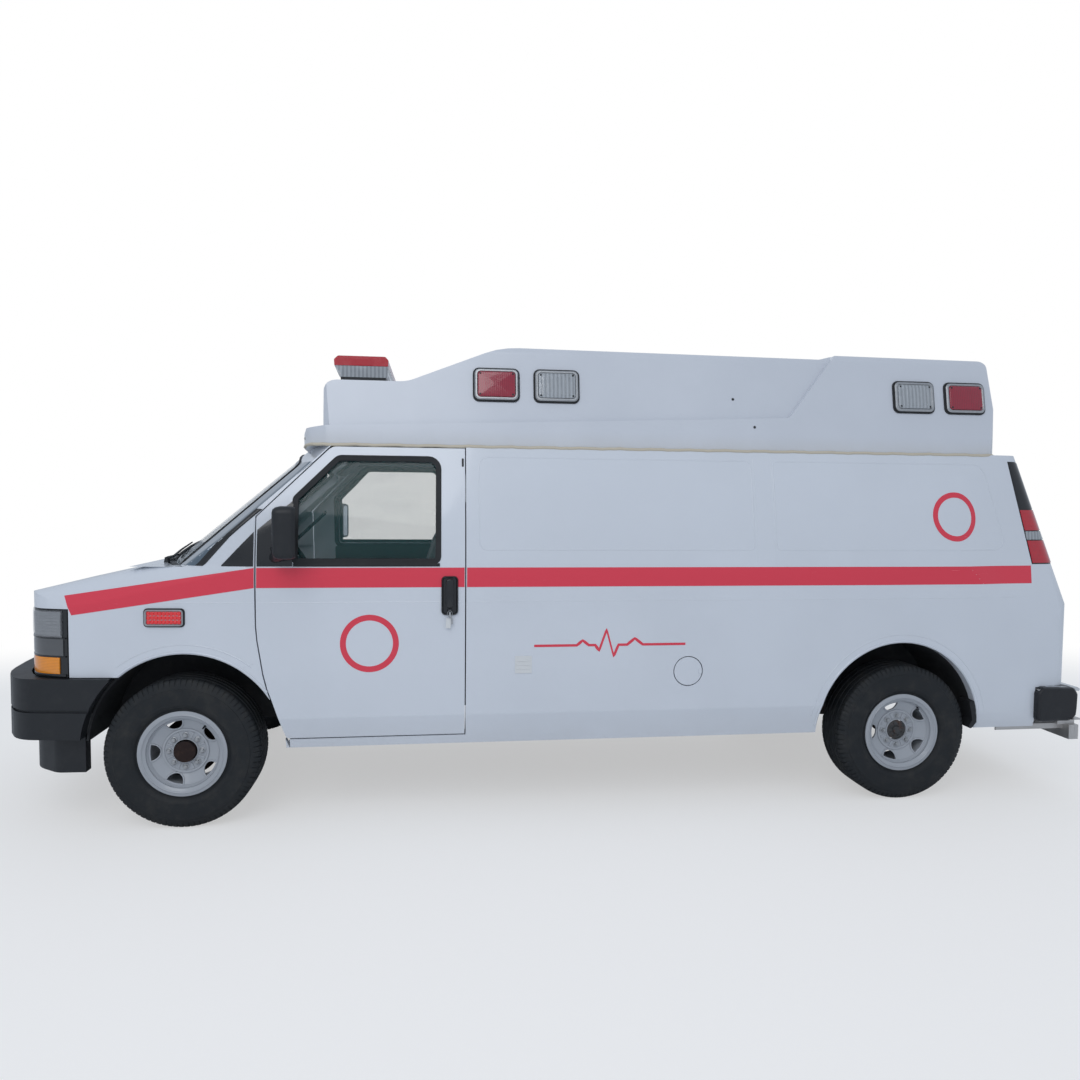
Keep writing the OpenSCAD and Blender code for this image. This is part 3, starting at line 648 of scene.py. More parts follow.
def bead(shape, tree, outline, side, radius, lift=0.0, ring=True, sides=8):
    # A round bead laid along an outline of x and z on one side of the body
    path = []
    for x, z in outline:
        hit = onSkin(tree, *besideOf(x, z, side))
        if hit:
            path.append(hit[0] + hit[1] * lift / 1000)
    if len(path) > 2:
        shape.tube(path, radius / 1000, sides, ring)


def finer(outline, step, ring=True):
    # More points along an outline, no further apart than step
    points = []
    for i in range(len(outline) if ring else len(outline) - 1):
        a, b = Vector(outline[i]), Vector(outline[(i + 1) % len(outline)])
        n = max(1, math.ceil((b - a).length / step))
        points += [tuple(a + (b - a) * k / n) for k in range(n)]
    return points if ring else points + [tuple(outline[-1])]


# The body's own panels

panels = {  # node: body, edge radius in millimetres
    "left_side_wall": ("van", 3), "right_side_wall": ("van", 3), "high_roof": ("van", 9),
    "front_fenders": ("van", 3), "cab_frame": ("van", 3), "rear_frame": ("van", 3),
    "front_bumper": ("van", 8), "grille": ("van", 3), "hood": ("hood", 4),
    "front_left_door": ("front_left_door", 3), "front_right_door": ("front_right_door", 3),
    "side_door_front": ("side_door_front", 3), "side_door_rear": ("side_door_rear", 3),
    "rear_left_door": ("rear_left_door", 3), "rear_right_door": ("rear_right_door", 3),
    "fuel_door": ("fuel_door", 1), "rear_step": ("van", 4), "dashboard": ("van", 12),
    "squad_bench": ("van", 5), "fuel_tank": ("van", 20), "engine": ("van", 14),
}
slotOf = {row["node"]: row["material_slot"] for row in frame["record"]["subparts"]}


def panelCopy(node, body, edge):
    # The CAD panel again with its points joined, so that its curves shade evenly
    mesh = nodes[node].data.copy()
    work = bmesh.new()
    work.from_mesh(mesh)
    bmesh.ops.remove_doubles(work, verts=work.verts, dist=0.00002)
    bmesh.ops.dissolve_limit(work, angle_limit=math.radians(0.4), verts=work.verts, edges=work.edges)
    work.to_mesh(mesh)
    work.free()
    mesh.name = node + "_panel"
    piece = bpy.data.objects.new(node + "_panel", mesh)
    scene.collection.objects.link(piece)
    mesh.materials.clear()
    mesh.materials.append(finish[slotOf[node]])
    soften(piece, 26, edge / 1000, 2)
    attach(piece, body)
    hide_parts(node)
    return piece


panelPieces = {node: panelCopy(node, *row) for node, row in panels.items()}
for node, thing in nodes.items():
    thing.data.materials.clear()
    thing.data.materials.append(finish[slotOf[node]])
print("panels made:", len(panelPieces))


# Red films

stripe = {
    "low": 1241, "high": 1343, "fold": 366,  # heights, and where it starts to fall forwards
    "tipLow": (-542, 1099), "tipHigh": (-584, 1196), "end": 4735,
    "thick": 1.1, "sink": 1.5, "rows": 12, "step": 22, "noseRows": 130,
}
stripeParts = [  # side, first x, last x, node, body
    (-1, 0, 366, "front_fenders", "van"), (1, 0, 366, "front_fenders", "van"),
    (-1, 378, 1433, "front_left_door", "front_left_door"),
    (1, 378, 1433, "front_right_door", "front_right_door"),
    (-1, 1446, stripe["end"], "left_side_wall", "van"), (1, 1446, 1552, "right_side_wall", "van"),
    (1, 1563, 2271, "side_door_front", "side_door_front"),
    (1, 2285, 2757, "side_door_rear", "side_door_rear"),
    (1, 2768, stripe["end"], "right_side_wall", "van"),
]


def levelRows(start, end):
    heights = between(stripe["low"], stripe["high"], stripe["rows"])
    columns = max(2, round((end - start) / stripe["step"]))
    return [[(x, z) for z in heights] for x in between(start, end, columns)]


def noseRows():
    # On the fender the rows lean over, up to the stripe's cut end
    rows = []
    for part in between(0, 1, stripe["noseRows"]):
        low = Vector((stripe["fold"], stripe["low"])).lerp(Vector(stripe["tipLow"]), part)
        high = Vector((stripe["fold"], stripe["high"])).lerp(Vector(stripe["tipHigh"]), part)
        rows.append([low.lerp(high, across) for across in between(0, 1, stripe["rows"])])
    return rows


def makeStripe():
    for number, (side, start, end, node, body) in enumerate(stripeParts):
        shape = Shape()
        rows = noseRows() if node == "front_fenders" else levelRows(start, end)
        rays = [[besideOf(x, z, side) for x, z in row] for row in rows]
        patch(shape, skin(node), rays, stripe["thick"], stripe["sink"])
        shape.make(f"stripe_{number + 1}", body, "red_film", smooth=60)


rings = {"door": (943, 950, 150), "wall": (4231, 1625, 140), "width": 30, "turns": 64}  # x, z, radius
pulse = {  # heartbeat line: x and height from its own level
    "level": 925, "start": {-1: 1803, 1: 2923}, "thick": 13, "step": 16,
    "beats": [(0, 0), (230, 0), (262, 26), (296, 0), (330, 0), (352, -30), (392, 84), (432, -62), (458, 0),
              (505, 0), (548, 34), (592, 0), (830, 0)],
}


def ringOn(shape, tree, x, z, radius, side):
    rows = []
    for a in between(0, 2 * math.pi, rings["turns"]):
        rows.append([besideOf(x + r * math.cos(a), z + r * math.sin(a), side)
                     for r in between(radius - rings["width"], radius, 2)])
    patch(shape, tree, rows, stripe["thick"], stripe["sink"])


def makeMarks():
    for side, node in ((-1, "front_left_door"), (1, "front_right_door")):
        shape = Shape()
        ringOn(shape, skin(node), *rings["door"], side)
        shape.make(f"ring_{node}", node, "red_film", smooth=60)
    for side, node in ((-1, "left_side_wall"), (1, "right_side_wall")):
        shape = Shape()
        ringOn(shape, skin(node), *rings["wall"], side)
        line = [(pulse["start"][side] + x, pulse["level"] + z) for x, z in pulse["beats"]]
        line = finer(line, pulse["step"], ring=False)
        half = pulse["thick"] / 2
        rows = []
        for i, (x, z) in enumerate(line):
            before, after = Vector(line[max(0, i - 1)]), Vector(line[min(len(line) - 1, i + 1)])
            run = (after - before).normalized()
            across = Vector((-run.y, run.x)) * half / max(0.45, abs(run.x))  # steep runs stay as wide
            rows.append([besideOf(x + across.x * k * abs(run.x), z + across.y * k, side) for k in (-1, 0, 1)])
        patch(shape, skin(node), rows, stripe["thick"], stripe["sink"])
        shape.make(f"marks_{node}", "van", "red_film", smooth=60)


makeStripe()
makeMarks()
print("stripes made")


# Warning lamps on the roof and fenders

roofLamp = {
    "places": [(1608, 2325, "red"), (1940, 2325, "clear"), (4028, 2313, "clear"), (4346, 2313, "red")],
    "size": (256, 190, 34), "bezel": (238, 172, 27), "lens": (204, 140, 17),  # width, height, corner
    "stand": 0.024, "screwAt": (0.089, 0.058, 0.020), "rib": (0.072, 0.055, 0.0245),
    "screw": [(0, 0), (0.0055, 0), (0.0055, 0.005), (0.004, 0.0065), (0, 0.0065)],  # radius, height
}
sideLamp = {
    "x": -78, "z": 1089, "size": (204, 96, 20), "bezel": (192, 84, 16), "lens": (170, 64, 6),
    "cells": (9, 3), "fill": 940,  # how much of its place a cell takes, in thousandths
}


def sizedPill(row, n=5):
    return metres(pill(*row, n))


def facing(hit, normal, side):
    return standing(hit, (-side, 0, 0), normal)


def makeRoofLamps():
    gaskets, bezels, screws = Shape(), Shape(), Shape()
    lenses = {"red": Shape(), "clear": Shape()}
    ribs = Shape()
    size, bezel, glass = (sizedPill(roofLamp[k]) for k in ("size", "bezel", "lens"))
    for side in (-1, 1):
        for x, z, kind in roofLamp["places"]:
            place = facing(*onSkin(skin("high_roof"), *besideOf(x, z, side)), side)
            for shape in (gaskets, bezels, screws, ribs, *lenses.values()):
                shape.place = place
            gaskets.rim(size, shrunk(bezel, 0.004), -0.002, 0.009, 0.003)
            bezels.rim(bezel, shrunk(glass, 0.002), 0, 0.021, 0.006)
            bezels.slab(glass, 0, 0.008)
            lenses[kind].slab(glass, 0.009, roofLamp["stand"], 0.006, 0.004)
            u, v, w = roofLamp["screwAt"]
            for k, m in ((-1, -1), (-1, 1), (1, -1), (1, 1)):
                screws.place = place @ Matrix.Translation((k * u, m * v, w))
                screws.lathe(roofLamp["screw"], 14, False)
            if kind == "clear":
                wide, long, high = roofLamp["rib"]
                for u in between(-wide, wide, 6):
                    ribs.tube([(u, -long, high), (u, long, high)], 0.0032, 8)
    gaskets.make("roof_lamp_gaskets", "van", "rubber_seal")
    piece = bezels.make("roof_lamp_bezels", "van", "plated_steel")
    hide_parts("warning_lights")
    lenses["red"].make("roof_lamp_red_lenses", "van", "warning_lens", smooth=50)
    lenses["clear"].make("roof_lamp_clear_lenses", "van", "clear_lens", smooth=50)
    ribs.make("roof_lamp_ribs", "van", "clear_lens", smooth=60)
    screws.make("roof_lamp_screws", "van", "black_trim")


def makeSideLamps():
    gaskets, bezels, cells = Shape(), Shape(), Shape()
    size, bezel, glass = (sizedPill(sideLamp[k]) for k in ("size", "bezel", "lens"))
    across, up = sideLamp["cells"]
    w, h = sideLamp["lens"][0] / 1000 / across, sideLamp["lens"][1] / 1000 / up
    for side in (-1, 1):
        place = facing(*onSkin(skin("front_fenders"), *besideOf(sideLamp["x"], sideLamp["z"], side)), side)
        for shape in (gaskets, bezels):
            shape.place = place
        gaskets.rim(size, shrunk(bezel, 0.004), -0.006, 0.008, 0.003)
        bezels.rim(bezel, shrunk(glass, -0.001), -0.004, 0.017, 0.005)
        bezels.slab(glass, -0.002, 0.008)
        for i in range(across):
            for j in range(up):
                spot = ((i - (across - 1) / 2) * w, (j - (up - 1) / 2) * h, 0)
                cells.place = place @ Matrix.Translation(spot)
                cell = pill(w * sideLamp["fill"], h * sideLamp["fill"], 4, 2)
                cells.slab(metres(cell), 0.006, 0.0125, 0.0025, 0.002)
    gaskets.make("side_lamp_gaskets", "van", "rubber_seal")
    bezels.make("side_lamp_bezels", "van", "plated_steel")
    cells.make("side_lamp_cells", "van", "red_lens", smooth=50)


makeRoofLamps()
makeSideLamps()


# Light bar

bar = {  # outlines seen from the side: x, z, corner radius
    "base": [(756, 2354, 0), (1004, 2354, 0), (1002, 2378, 4), (756, 2378, 4)],
    "clear": [(750, 2374, 6), (1008, 2374, 6), (1016, 2436, 0), (722, 2436, 0)],
    "red": [(722, 2437, 0), (1016, 2437, 0), (1018, 2470, 12), (1000, 2490, 16), (742, 2490, 16),
            (720, 2470, 12)],
    "half": 620, "end": 60, "modules": 7, "rows": ((775, 1), (985, -1)),  # rows: x, which way they face
    "fins": (812, 870, 928), "fin": [(-34, 2382, 0), (2, 2424, 0), (38, 2382, 0)],
    "feet": ((790, 2331), (970, 2356), 460, 50),  # corners, place and half width across the van
}


def acrossVan(y):
    # u runs back, v up and w to the left from the given y
    return standing(pt(0, y, 0), (1, 0, 0), (0, -1, 0))


def boxed(shape, low, high, y, half):
    # A block between two corners seen from the side, reaching half to each side of y
    shape.block(pt(low[0], y - half, low[1]), pt(high[0], y + half, high[1]))


def makeLightBar():
    half = bar["half"]
    base, clear, red, inside, lamps = Shape(), Shape(), Shape(), Shape(), Shape()
    for shape, key, inset in ((base, "base", 4), (clear, "clear", 2), (red, "red", 0)):
        shape.place = acrossVan(0)
        reach = (half - inset) / 1000
        shape.slab(metres(roundCorners(bar[key], 4)), -reach, reach)
    step = 2 * (half - bar["end"]) / bar["modules"]
    for i in range(bar["modules"]):
        y = -half + bar["end"] + step * (i + 0.5)
        for x, turn in bar["rows"]:
            boxed(inside, (x - 22, 2380), (x + 22, 2428), y, step * 0.42)
            face = x - 25 * turn
            for k in (-1, 0, 1):
                boxed(lamps, (face - 3, 2392), (face + 3, 2416), y + k * step * 0.27, 16)
    for side in (-1, 1):
        boxed(inside, (800, 2380), (960, 2392), side * 560, 8)
        boxed(inside, (812, 2440), (930, 2450), side * 585, 10)
        for x in bar["fins"]:
            inside.place = acrossVan(side * 590)
            inside.slab(metres(roundCorners([(x + dx, z, r) for dx, z, r in bar["fin"]])), -0.012, 0.012)
            inside.place = Matrix.Identity(4)
        boxed(lamps, (806, 2452), (936, 2474), side * 600, 3)
        boxed(lamps, (840, 2424), (900, 2436), side * 604, 3)
    piece = base.make("light_bar_base", "van", "black_plastic", bevel=0.003)
    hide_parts("light_bar")
    clear.make("light_bar_clear_lens", "van", "clear_lens")
    red.make("light_bar_red_lens", "van", "beacon_lens")
    inside.make("light_bar_modules", "van", "pocket_dark", bevel=0.002)
    lamps.make("light_bar_reflectors", "van", "chrome_trim", bevel=0.002)
    feet = Shape()
    low, high, y, width = bar["feet"]
    for side in (-1, 1):
        boxed(feet, low, high, side * y, width)
    feet.make("light_bar_feet", "van", "black_plastic", bevel=0.004)


makeLightBar()
print("lamps made")


# Head and tail lamps

headlamp = {
    "corner": (-562, 626),  # the upright line that the rays aim at
    "parts": [  # name, finish, start and end angle, low, high, lift
        ("reflector", "plated_steel", 5, 84, 992, 1116, 2.0),
        ("lens", "headlamp_lens", 3, 86, 985, 1122, 7.0),
        ("middle", "smoked_reflector", 3, 87, 893, 979, 5.0),
        ("amber", "amber_lens", 5, 83, 801, 884, 6.5),
        ("frame_low", "black_trim", 0, 89.5, 784, 800, 5.5),
        ("frame_mid", "black_trim", 0, 89.5, 885, 893, 6.0),
        ("frame_top", "black_trim", 0, 89.5, 979, 986, 6.5),
    ],
}


def cornerRay(cx, cy, z, angle, side, rear=False):
    # A level ray towards an upright line from an angle: 0 is from the end of the van, 90 from its side
    a = math.radians(angle)
    out = Vector(((1 if rear else -1) * math.cos(a), side * math.sin(a), 0))
    return pt(cx, side * cy, z) + out * 0.7, -out


def makeHeadlamps():
    tree = skin("headlights")
    for name, coat, start, end, low, high, lift in headlamp["parts"]:
        shape = Shape()
        for side in (-1, 1):
            rows = [[cornerRay(*headlamp["corner"], z, a, side) for z in between(low, high, 6)]
                    for a in between(start, end, 28)]
            patch(shape, tree, rows, [lift - 2] + [lift] * 5 + [lift - 2], 1)
        shape.make(f"headlamp_{name}", "van", coat, smooth=50)
    nodes["headlights"].data.materials[0] = finish["black_trim"]


tailLamp = {
    "foot": (4749, 1352), "head": (4609, 1948), "inner": 812,  # the leaning line that the rays aim at
    "parts": [  # name, finish, low, high, lift
        ("cover", "black_trim", 1672, 1942, 2.5), ("red_high", "tail_lens", 1548, 1666, 4.0),
        ("white_band", "clear_lens", 1494, 1542, 4.0), ("red_low", "tail_lens", 1358, 1488, 4.0),
    ],
}


def makeTailLamps():
    tree = skin("tail_lamps")
    (x0, z0), (x1, z1) = tailLamp["foot"], tailLamp["head"]
    for name, coat, low, high, lift in tailLamp["parts"]:
        shape = Shape()
        for side in (-1, 1):
            rows = []
            for z in between(low, high, 10):
                x = x0 + (x1 - x0) * (z - z0) / (z1 - z0)
                rows.append([cornerRay(x, tailLamp["inner"], z, a, side, True) for a in between(90, 1, 14)])
            patch(shape, tree, rows, [lift - 2] + [lift] * 13 + [lift - 2], 1)
        shape.make(f"tail_lamp_{name}", "van", coat, smooth=50)
    nodes["tail_lamps"].data.materials[0] = finish["black_trim"]


makeHeadlamps()
makeTailLamps()
print("head and tail lamps made")


# Wheels

tyre = {  # half of the profile: radius and distance from the middle
    "side": [(203.5, 95), (231, 96), (240, 108), (252, 114), (256, 116.5), (262, 117), (266, 115.5),
             (284, 119),
             (306, 120.5), (326, 119.5), (330, 121), (336, 120.5), (338, 118), (352, 114.5), (363, 109.5)],
    "shoulder": [(374, 104), (381, 98), (386, 90)],
    "crown": [(386.6, 68), (379, 66), (379, 60), (386.8, 58), (387, 26), (379, 24), (379, 18), (387, 16)],
    "pitches": 84, "notch": 3.5, "block": 0.76,
}
wheelSides = {"front_left": -1, "front_right": 1, "rear_left": -1, "rear_right": 1}
rim = {
    "lugs": 8, "lugRadius": 0.0825, "vents": 5, "ventAt": 166, "ventRadius": 45, "ventReach": 171,
    "bowl": ((110, 46), (124, 45), (124, 48), (170, 70)),  # radius and height of the pressed disc
    "lips": [  # turned beads: profile of radius and height, sides round
        ([(0.1995, 0.100), (0.2045, 0.1035), (0.2055, 0.108), (0.2015, 0.1105), (0.1965, 0.108),
          (0.1945, 0.102)], 96),
        ([(0.181, 0.066), (0.1845, 0.084), (0.1795, 0.086), (0.172, 0.0735), (0.168, 0.0675)], 96),
        ([(0.1085, 0.040), (0.1165, 0.0455), (0.1155, 0.050), (0.108, 0.0515), (0.1035, 0.048),
          (0.103, 0.042)], 72),
        ([(0.0585, 0.040), (0.0655, 0.045), (0.0650, 0.051), (0.0600, 0.0525), (0.0575, 0.048)], 64),
    ],
    "rib": [(0.068, -0.0035), (0.102, -0.0055), (0.102, 0.0055), (0.068, 0.0035)],
    "wellLip": [(0.0145, 0.0445), (0.0185, 0.0455), (0.0175, 0.0495), (0.0150, 0.0490)],
    "well": [(0, 0.0466), (0.0172, 0.0466), (0.0172, 0.044), (0, 0.044)],
    "nut": 0.0115, "washer": [(0, 0.0455), (0.0142, 0.0455), (0.0142, 0.0485), (0.0115, 0.0500), (0, 0.0500)],
    "stud": [(0, 0.060), (0.0062, 0.060), (0.0062, 0.0655), (0, 0.0665)],
}
hub = {
    "front": [(0, 0.052), (0.024, 0.052), (0.027, 0.049), (0.030, 0.044), (0.045, 0.043), (0.050, 0.040),
              (0.0545, 0.034), (0.0545, 0.016)],
    "rear": [(0, 0.060), (0.020, 0.060), (0.024, 0.056), (0.026, 0.050), (0.046, 0.048), (0.0545, 0.045),
             (0.0545, 0.016)],
    "bolts": 8, "boltRadius": 0.038,
    "bolt": [(0, 0.040), (0.0048, 0.040), (0.0048, 0.0525), (0.0035, 0.0535), (0, 0.0535)],
}
valve = {"angle": -52, "root": (0.176, 0.072), "tip": (0.163, 0.102), "radii": [0.0055, 0.0042]}


def wheelPlace(name, side):
    return standing(middleOf(name + "_tyre"), (1, 0, 0), (0, side, 0))


def makeTyre(name, side):
    shape = Shape()
    shape.place = wheelPlace(name, side)
    rings = []
    pitches = tyre["pitches"]
    half = tyre["side"] + tyre["shoulder"] + tyre["crown"]
    first = len(tyre["side"]) - 1  # the first ring that the notches cut
    skew = 2 * math.pi * 0.18 / pitches  # the right half of the tread is turned a little
    for i in range(pitches):
        for part, cut in ((0, 0), (tyre["block"], 0), (tyre["block"] + 0.04, 1), (0.96, 1)):
            rows = []
            for k, (r, w) in enumerate(half):
                if cut and first <= k <= first + 3:
                    r -= tyre["notch"] * (0.5 if k == first else 1)
                    w -= 2 if k < first + 3 else 0
                rows.append((r / 1000, w / 1000))
            whole = [(r, -w) for r, w in rows] + [(r, w) for r, w in reversed(rows)]
            a = 2 * math.pi * (i + part) / pitches
            turned = [(r, a + skew * (w > 0), w) for r, w in whole]
            rings.append([(r * math.cos(b), r * math.sin(b), w) for r, b, w in turned])
    shape.loops(rings, ends=False, ring=True)
    piece = shape.make(name + "_tread", name + "_wheel", "tyre", smooth=32)
    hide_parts(name + "_tyre")


def bowlHeight(r):
    # Height of the disc at a radius, in millimetres
    (hub0, low), (hub1, flat), (rise0, start), (rise1, end) = rim["bowl"]
    if r < hub0:
        return low
    return start + (min(r, rise1) - rise0) * (end - start) / (rise1 - rise0) if r > hub1 else flat


def ventOutline():
    # A round hole cut off by the disc's edge
    far, r, reach = rim["ventAt"], rim["ventRadius"], rim["ventReach"]
    meet = math.acos((far * far + reach * reach - r * r) / (2 * far * reach))
    turn = math.acos((far * far + r * r - reach * reach) / (2 * far * r))
    hole = [(far + r * math.cos(b), r * math.sin(b)) for b in between(math.pi - turn, math.pi + turn, 16)]
    edge = [(reach * math.cos(b), reach * math.sin(b)) for b in between(-meet, meet, 12)]
    return hole + edge[1:-1]


def turnedPlace(place, a, radius=0.0):
    return place @ Matrix.Rotation(a, 4, "Z") @ Matrix.Translation((radius, 0, 0))


def makeRim(name, side):
    body = name + "_wheel"
    lips, nuts, dark = Shape(), Shape(), Shape()
    place = lips.place = wheelPlace(name, side)
    for k in range(rim["vents"]):
        a = math.pi + 2 * math.pi * k / rim["vents"]
        path = []
        for x, y in ventOutline():
            u, v = x * math.cos(a) - y * math.sin(a), x * math.sin(a) + y * math.cos(a)
            path.append((u / 1000, v / 1000, (bowlHeight(math.hypot(u, v)) + 0.5) / 1000))
        lips.tube(path, 0.0048, 8, True)
    for profile, turns in rim["lips"]:
        lips.lathe(profile, turns)
    corners = [math.pi * j / 3 for j in range(6)]
    hexagon = [(rim["nut"] * math.cos(b), rim["nut"] * math.sin(b)) for b in corners]
    for k in range(rim["lugs"]):
        a = 2 * math.pi * k / rim["lugs"]
        lips.place = nuts.place = dark.place = turnedPlace(place, a, rim["lugRadius"])
        lips.lathe(rim["wellLip"], 24)
        nuts.slab(hexagon, 0.045, 0.062, 0.0025)
        nuts.lathe(rim["washer"], 20, False)
        nuts.lathe(rim["stud"], 14, False)
        # A near-black disc round each nut in its hole: painted shade in the recess
        dark.lathe(rim["well"], 24, False)
        lips.place = turnedPlace(place, a + math.pi / rim["lugs"])
        lips.slab(rim["rib"], 0.044, 0.0510, 0.002)
    lips.make(name + "_rim_lips", body, "rim_steel", smooth=50)
    dark.make(name + "_lug_well_painted_shade", body, "pocket_dark")
    nuts.make(name + "_lug_nuts", body, "plated_steel", smooth=40)


def makeHub(name, side):
    body = name + "_wheel"
    end = name.split("_")[0]
    cap, stem = Shape(), Shape()
    place = cap.place = stem.place = wheelPlace(name, side)
    cap.lathe(hub[end], 48, False)
    for k in range(hub["bolts"]):
        cap.place = turnedPlace(place, 2 * math.pi * (k + 0.5) / hub["bolts"], hub["boltRadius"])
        cap.lathe(hub["bolt"], 12, False)
    cap.make(name + "_hub_cap", body, "hub_iron" if end == "front" else "axle_black", smooth=45)
    a = math.radians(valve["angle"])
    ends = [(r * math.cos(a), r * math.sin(a) * side, h) for r, h in (valve["root"], valve["tip"])]
    stem.tube(ends, valve["radii"], 12)
    stem.make(name + "_valve", body, "rubber_seal", smooth=50)


for name, side in wheelSides.items():
    makeTyre(name, side)
    makeRim(name, side)
    makeHub(name, side)
print("wheels made")


# Door glass, seals and trim

doorWindow = [(560, 1370, 20), (1302, 1370, 30), (1302, 1918, 60), (775, 1918, 50), (560, 1700, 30)]
doorSeal = {"out": 9, "in": 20, "lift": 2.5, "sill": (560, 1304), "sillRows": (1349, 1354, 1360, 1366)}
sail = {"x": (380, 556), "foot": 1350, "top": (1536, 1688), "rows": (12, 8), "lift": (1.5, 4)}
cabCorner = {"x": (203, 363), "foot": 1350, "top": (1356, 1526), "rows": (10, 6), "lift": (1, 2.5)}
screen = {
    "x": -240, "belt": 1345, "angle": 40.1, "bow": 2800,  # foot, slope and radius of the curve across
    "outline": [(46, 842, 60), (955, 745, 60), (955, -745, 60), (46, -842, 60)],  # up the slope, y, corner
    "band": (3, 20, 38),
}


def grown(outline, d):
    return shrunk(outline, -d)


def frameOn(shape, outer, inner, side, outside, inside, lift, sink):
    # A rubber frame: it stands on the skin at the outer outline and reaches the glass at the inner
    rings = []
    for (x0, z0), (x1, z1) in zip(outer, inner):
        a, b = onSkin(outside, *besideOf(x0, z0, side)), onSkin(inside, *besideOf(x1, z1, side))
        if not a or not b:
            continue
        foot, normal = a
        glass, facing = b
        high = foot + normal * lift / 1000
        within = Vector((glass.x, high.y, glass.z))
        rings.append([foot - normal * sink / 1000, high, within, glass - facing * 0.001])
    shape.loops(rings, ends=False, ring=True)


def doorNodes(side):
    word = "left" if side < 0 else "right"
    return f"front_{word}_door", f"front_{word}_window", word


def makeDoorSeals():
    for side in (-1, 1):
        door, window, word = doorNodes(side)
        outline = finer(roundCorners(doorWindow), 60)
        seal = Shape()
        outer, inner = grown(outline, doorSeal["out"]), shrunk(outline, doorSeal["in"])
        frameOn(seal, outer, inner, side, skin(door), skin(window), doorSeal["lift"], 2)
        sill = between(*doorSeal["sill"], 20)
        rows = [[besideOf(x, z, side) for z in doorSeal["sillRows"]] for x in sill]
        patch(seal, skin(door), rows, [2, 4.5, 4.5, 3.5], 2)
        seal.make(f"{word}_door_seal", door, "rubber_seal", smooth=40)
        makeTriangle(f"{word}_sail_panel", door, skin(door, window), side, sail)
        makeTriangle(f"{word}_corner_panel", "van", skin("cab_frame"), side, cabCorner)
        makeWrap(side, word)


def makeTriangle(name, body, tree, side, panel):
    # A trim panel on the skin with a level foot and a rising top
    shape = Shape()
    columns, high = panel["rows"]
    edge, face = panel["lift"]
    tops = between(*panel["top"], columns)
    rows = [[besideOf(x, z, side) for z in between(panel["foot"], top, high)]
            for x, top in zip(between(*panel["x"], columns), tops)]
    patch(shape, tree, rows, [edge] + [face] * (high - 1) + [edge], 2)
    shape.make(name, body, "black_trim", smooth=50)


def screenCurve(y):
    # How far back the windscreen has curved at y
    r = screen["bow"]
    return (r - math.sqrt(r * r - y * y)) / math.sin(math.radians(screen["angle"]))


wrap = {
    "back": [(115, 1350), (366, 1597), (706, 1916)], "band": 0.22,  # rear edge, and the band's share
    "rearY": (952.2, 0.04), "frontY": (850.974, 97 / 585),  # half width at the belt, and its fall
    "lift": (1.5, 4),
}


def makeWrap(side, word):
    # The windscreen's edge comes round onto the pillar: glass in front, a black band along its rear
    glass, band = Shape(), Shape()
    tree = skin("cab_frame", "front_fenders")
    towards = Vector((0.5, -side * 0.86, -0.05)).normalized()
    slope = math.radians(screen["angle"])
    for shape, start, end, columns in ((glass, wrap["band"], 1.0, 9), (band, 0.0, wrap["band"], 3)):
        rows = []
        for x, z in finer(wrap["back"], 22, ring=False):
            up = z - screen["belt"]
            rearY, wide = (half - fall * up for half, fall in (wrap["rearY"], wrap["frontY"]))
            rear = pt(x, side * rearY, z)
            front = pt(screen["x"] + up / math.tan(slope) + screenCurve(wide), side * wide, z)
            parts = between(start, end, columns)
            rows.append([(rear.lerp(front, part) - towards * 0.25, towards) for part in parts])
        edge, face = wrap["lift"]
        patch(shape, tree, rows, [edge] + [face] * (columns - 1) + [edge], 1.5)
    glass.make(f"{word}_windscreen_edge", "van", "screen_edge", "clear_glass", smooth=60)
    band.make(f"{word}_windscreen_edge_band", "van", "black_trim", smooth=60)


def screenRay(a, y):
    # A ray square to the windscreen, at a up its slope and y across
    slope = math.radians(screen["angle"])
    along = Vector((math.cos(slope), 0, math.sin(slope)))
    inwards = Vector((math.sin(slope), 0, -math.cos(slope)))
    foot = pt(screen["x"], y, screen["belt"])
    return foot + along * a / 1000 - inwards * 0.5, inwards


def makeScreen():
    outline = finer(roundCorners(screen["outline"]), 40)
    band = Shape()
    rings = []
    tree = skin("windshield")
    for spots in zip(*(shrunk(outline, d) for d in screen["band"])):
        hits = [onSkin(tree, *screenRay(*spot)) for spot in spots]
        if None in hits:
            continue
        rings.append([h + n * 0.0012 for h, n in hits] + [h - n * 0.001 for h, n in reversed(hits)])
    band.loops(rings, ends=False, ring=True)
    band.make("windscreen_band", "van", "black_trim", smooth=50)
    seal = Shape()
    shell = skin("cab_frame", "windshield")
    path = []
    for a, y in grown(outline, 2):
        hit = onSkin(shell, *screenRay(a, y))
        if hit:
            path.append(hit[0] + hit[1] * 0.001)
    seal.tube(path, 0.007, 8, True)
    seal.make("windscreen_seal", "van", "rubber_seal", smooth=60)


cowl = {
    "half": 800, "front": -284, "flat": 300, "sweep": 196 / 516,  # its front runs back beyond the flat middle
    "least": 20, "gap": 6, "lift": [1, 5, 6, 6, 6],
    "slots": (560, 28, -262, 0.38),  # half width, how many, front and sweep
}
wiper = {
    "spans": ((-640, -120), (-20, 560)), "footX": -232,  # from each arm's foot to its blade's end
    "arm": ((70, 0.25), (92, 0.5), (120, 0.8)),  # up the slope, and how far along the span
    "blade": ((80, 0.34), (92, 0.5), (108, 0.75), (120, 1.0), (126, 1.08)),
    "radii": [0.008, 0.007, 0.0055, 0.004],
}


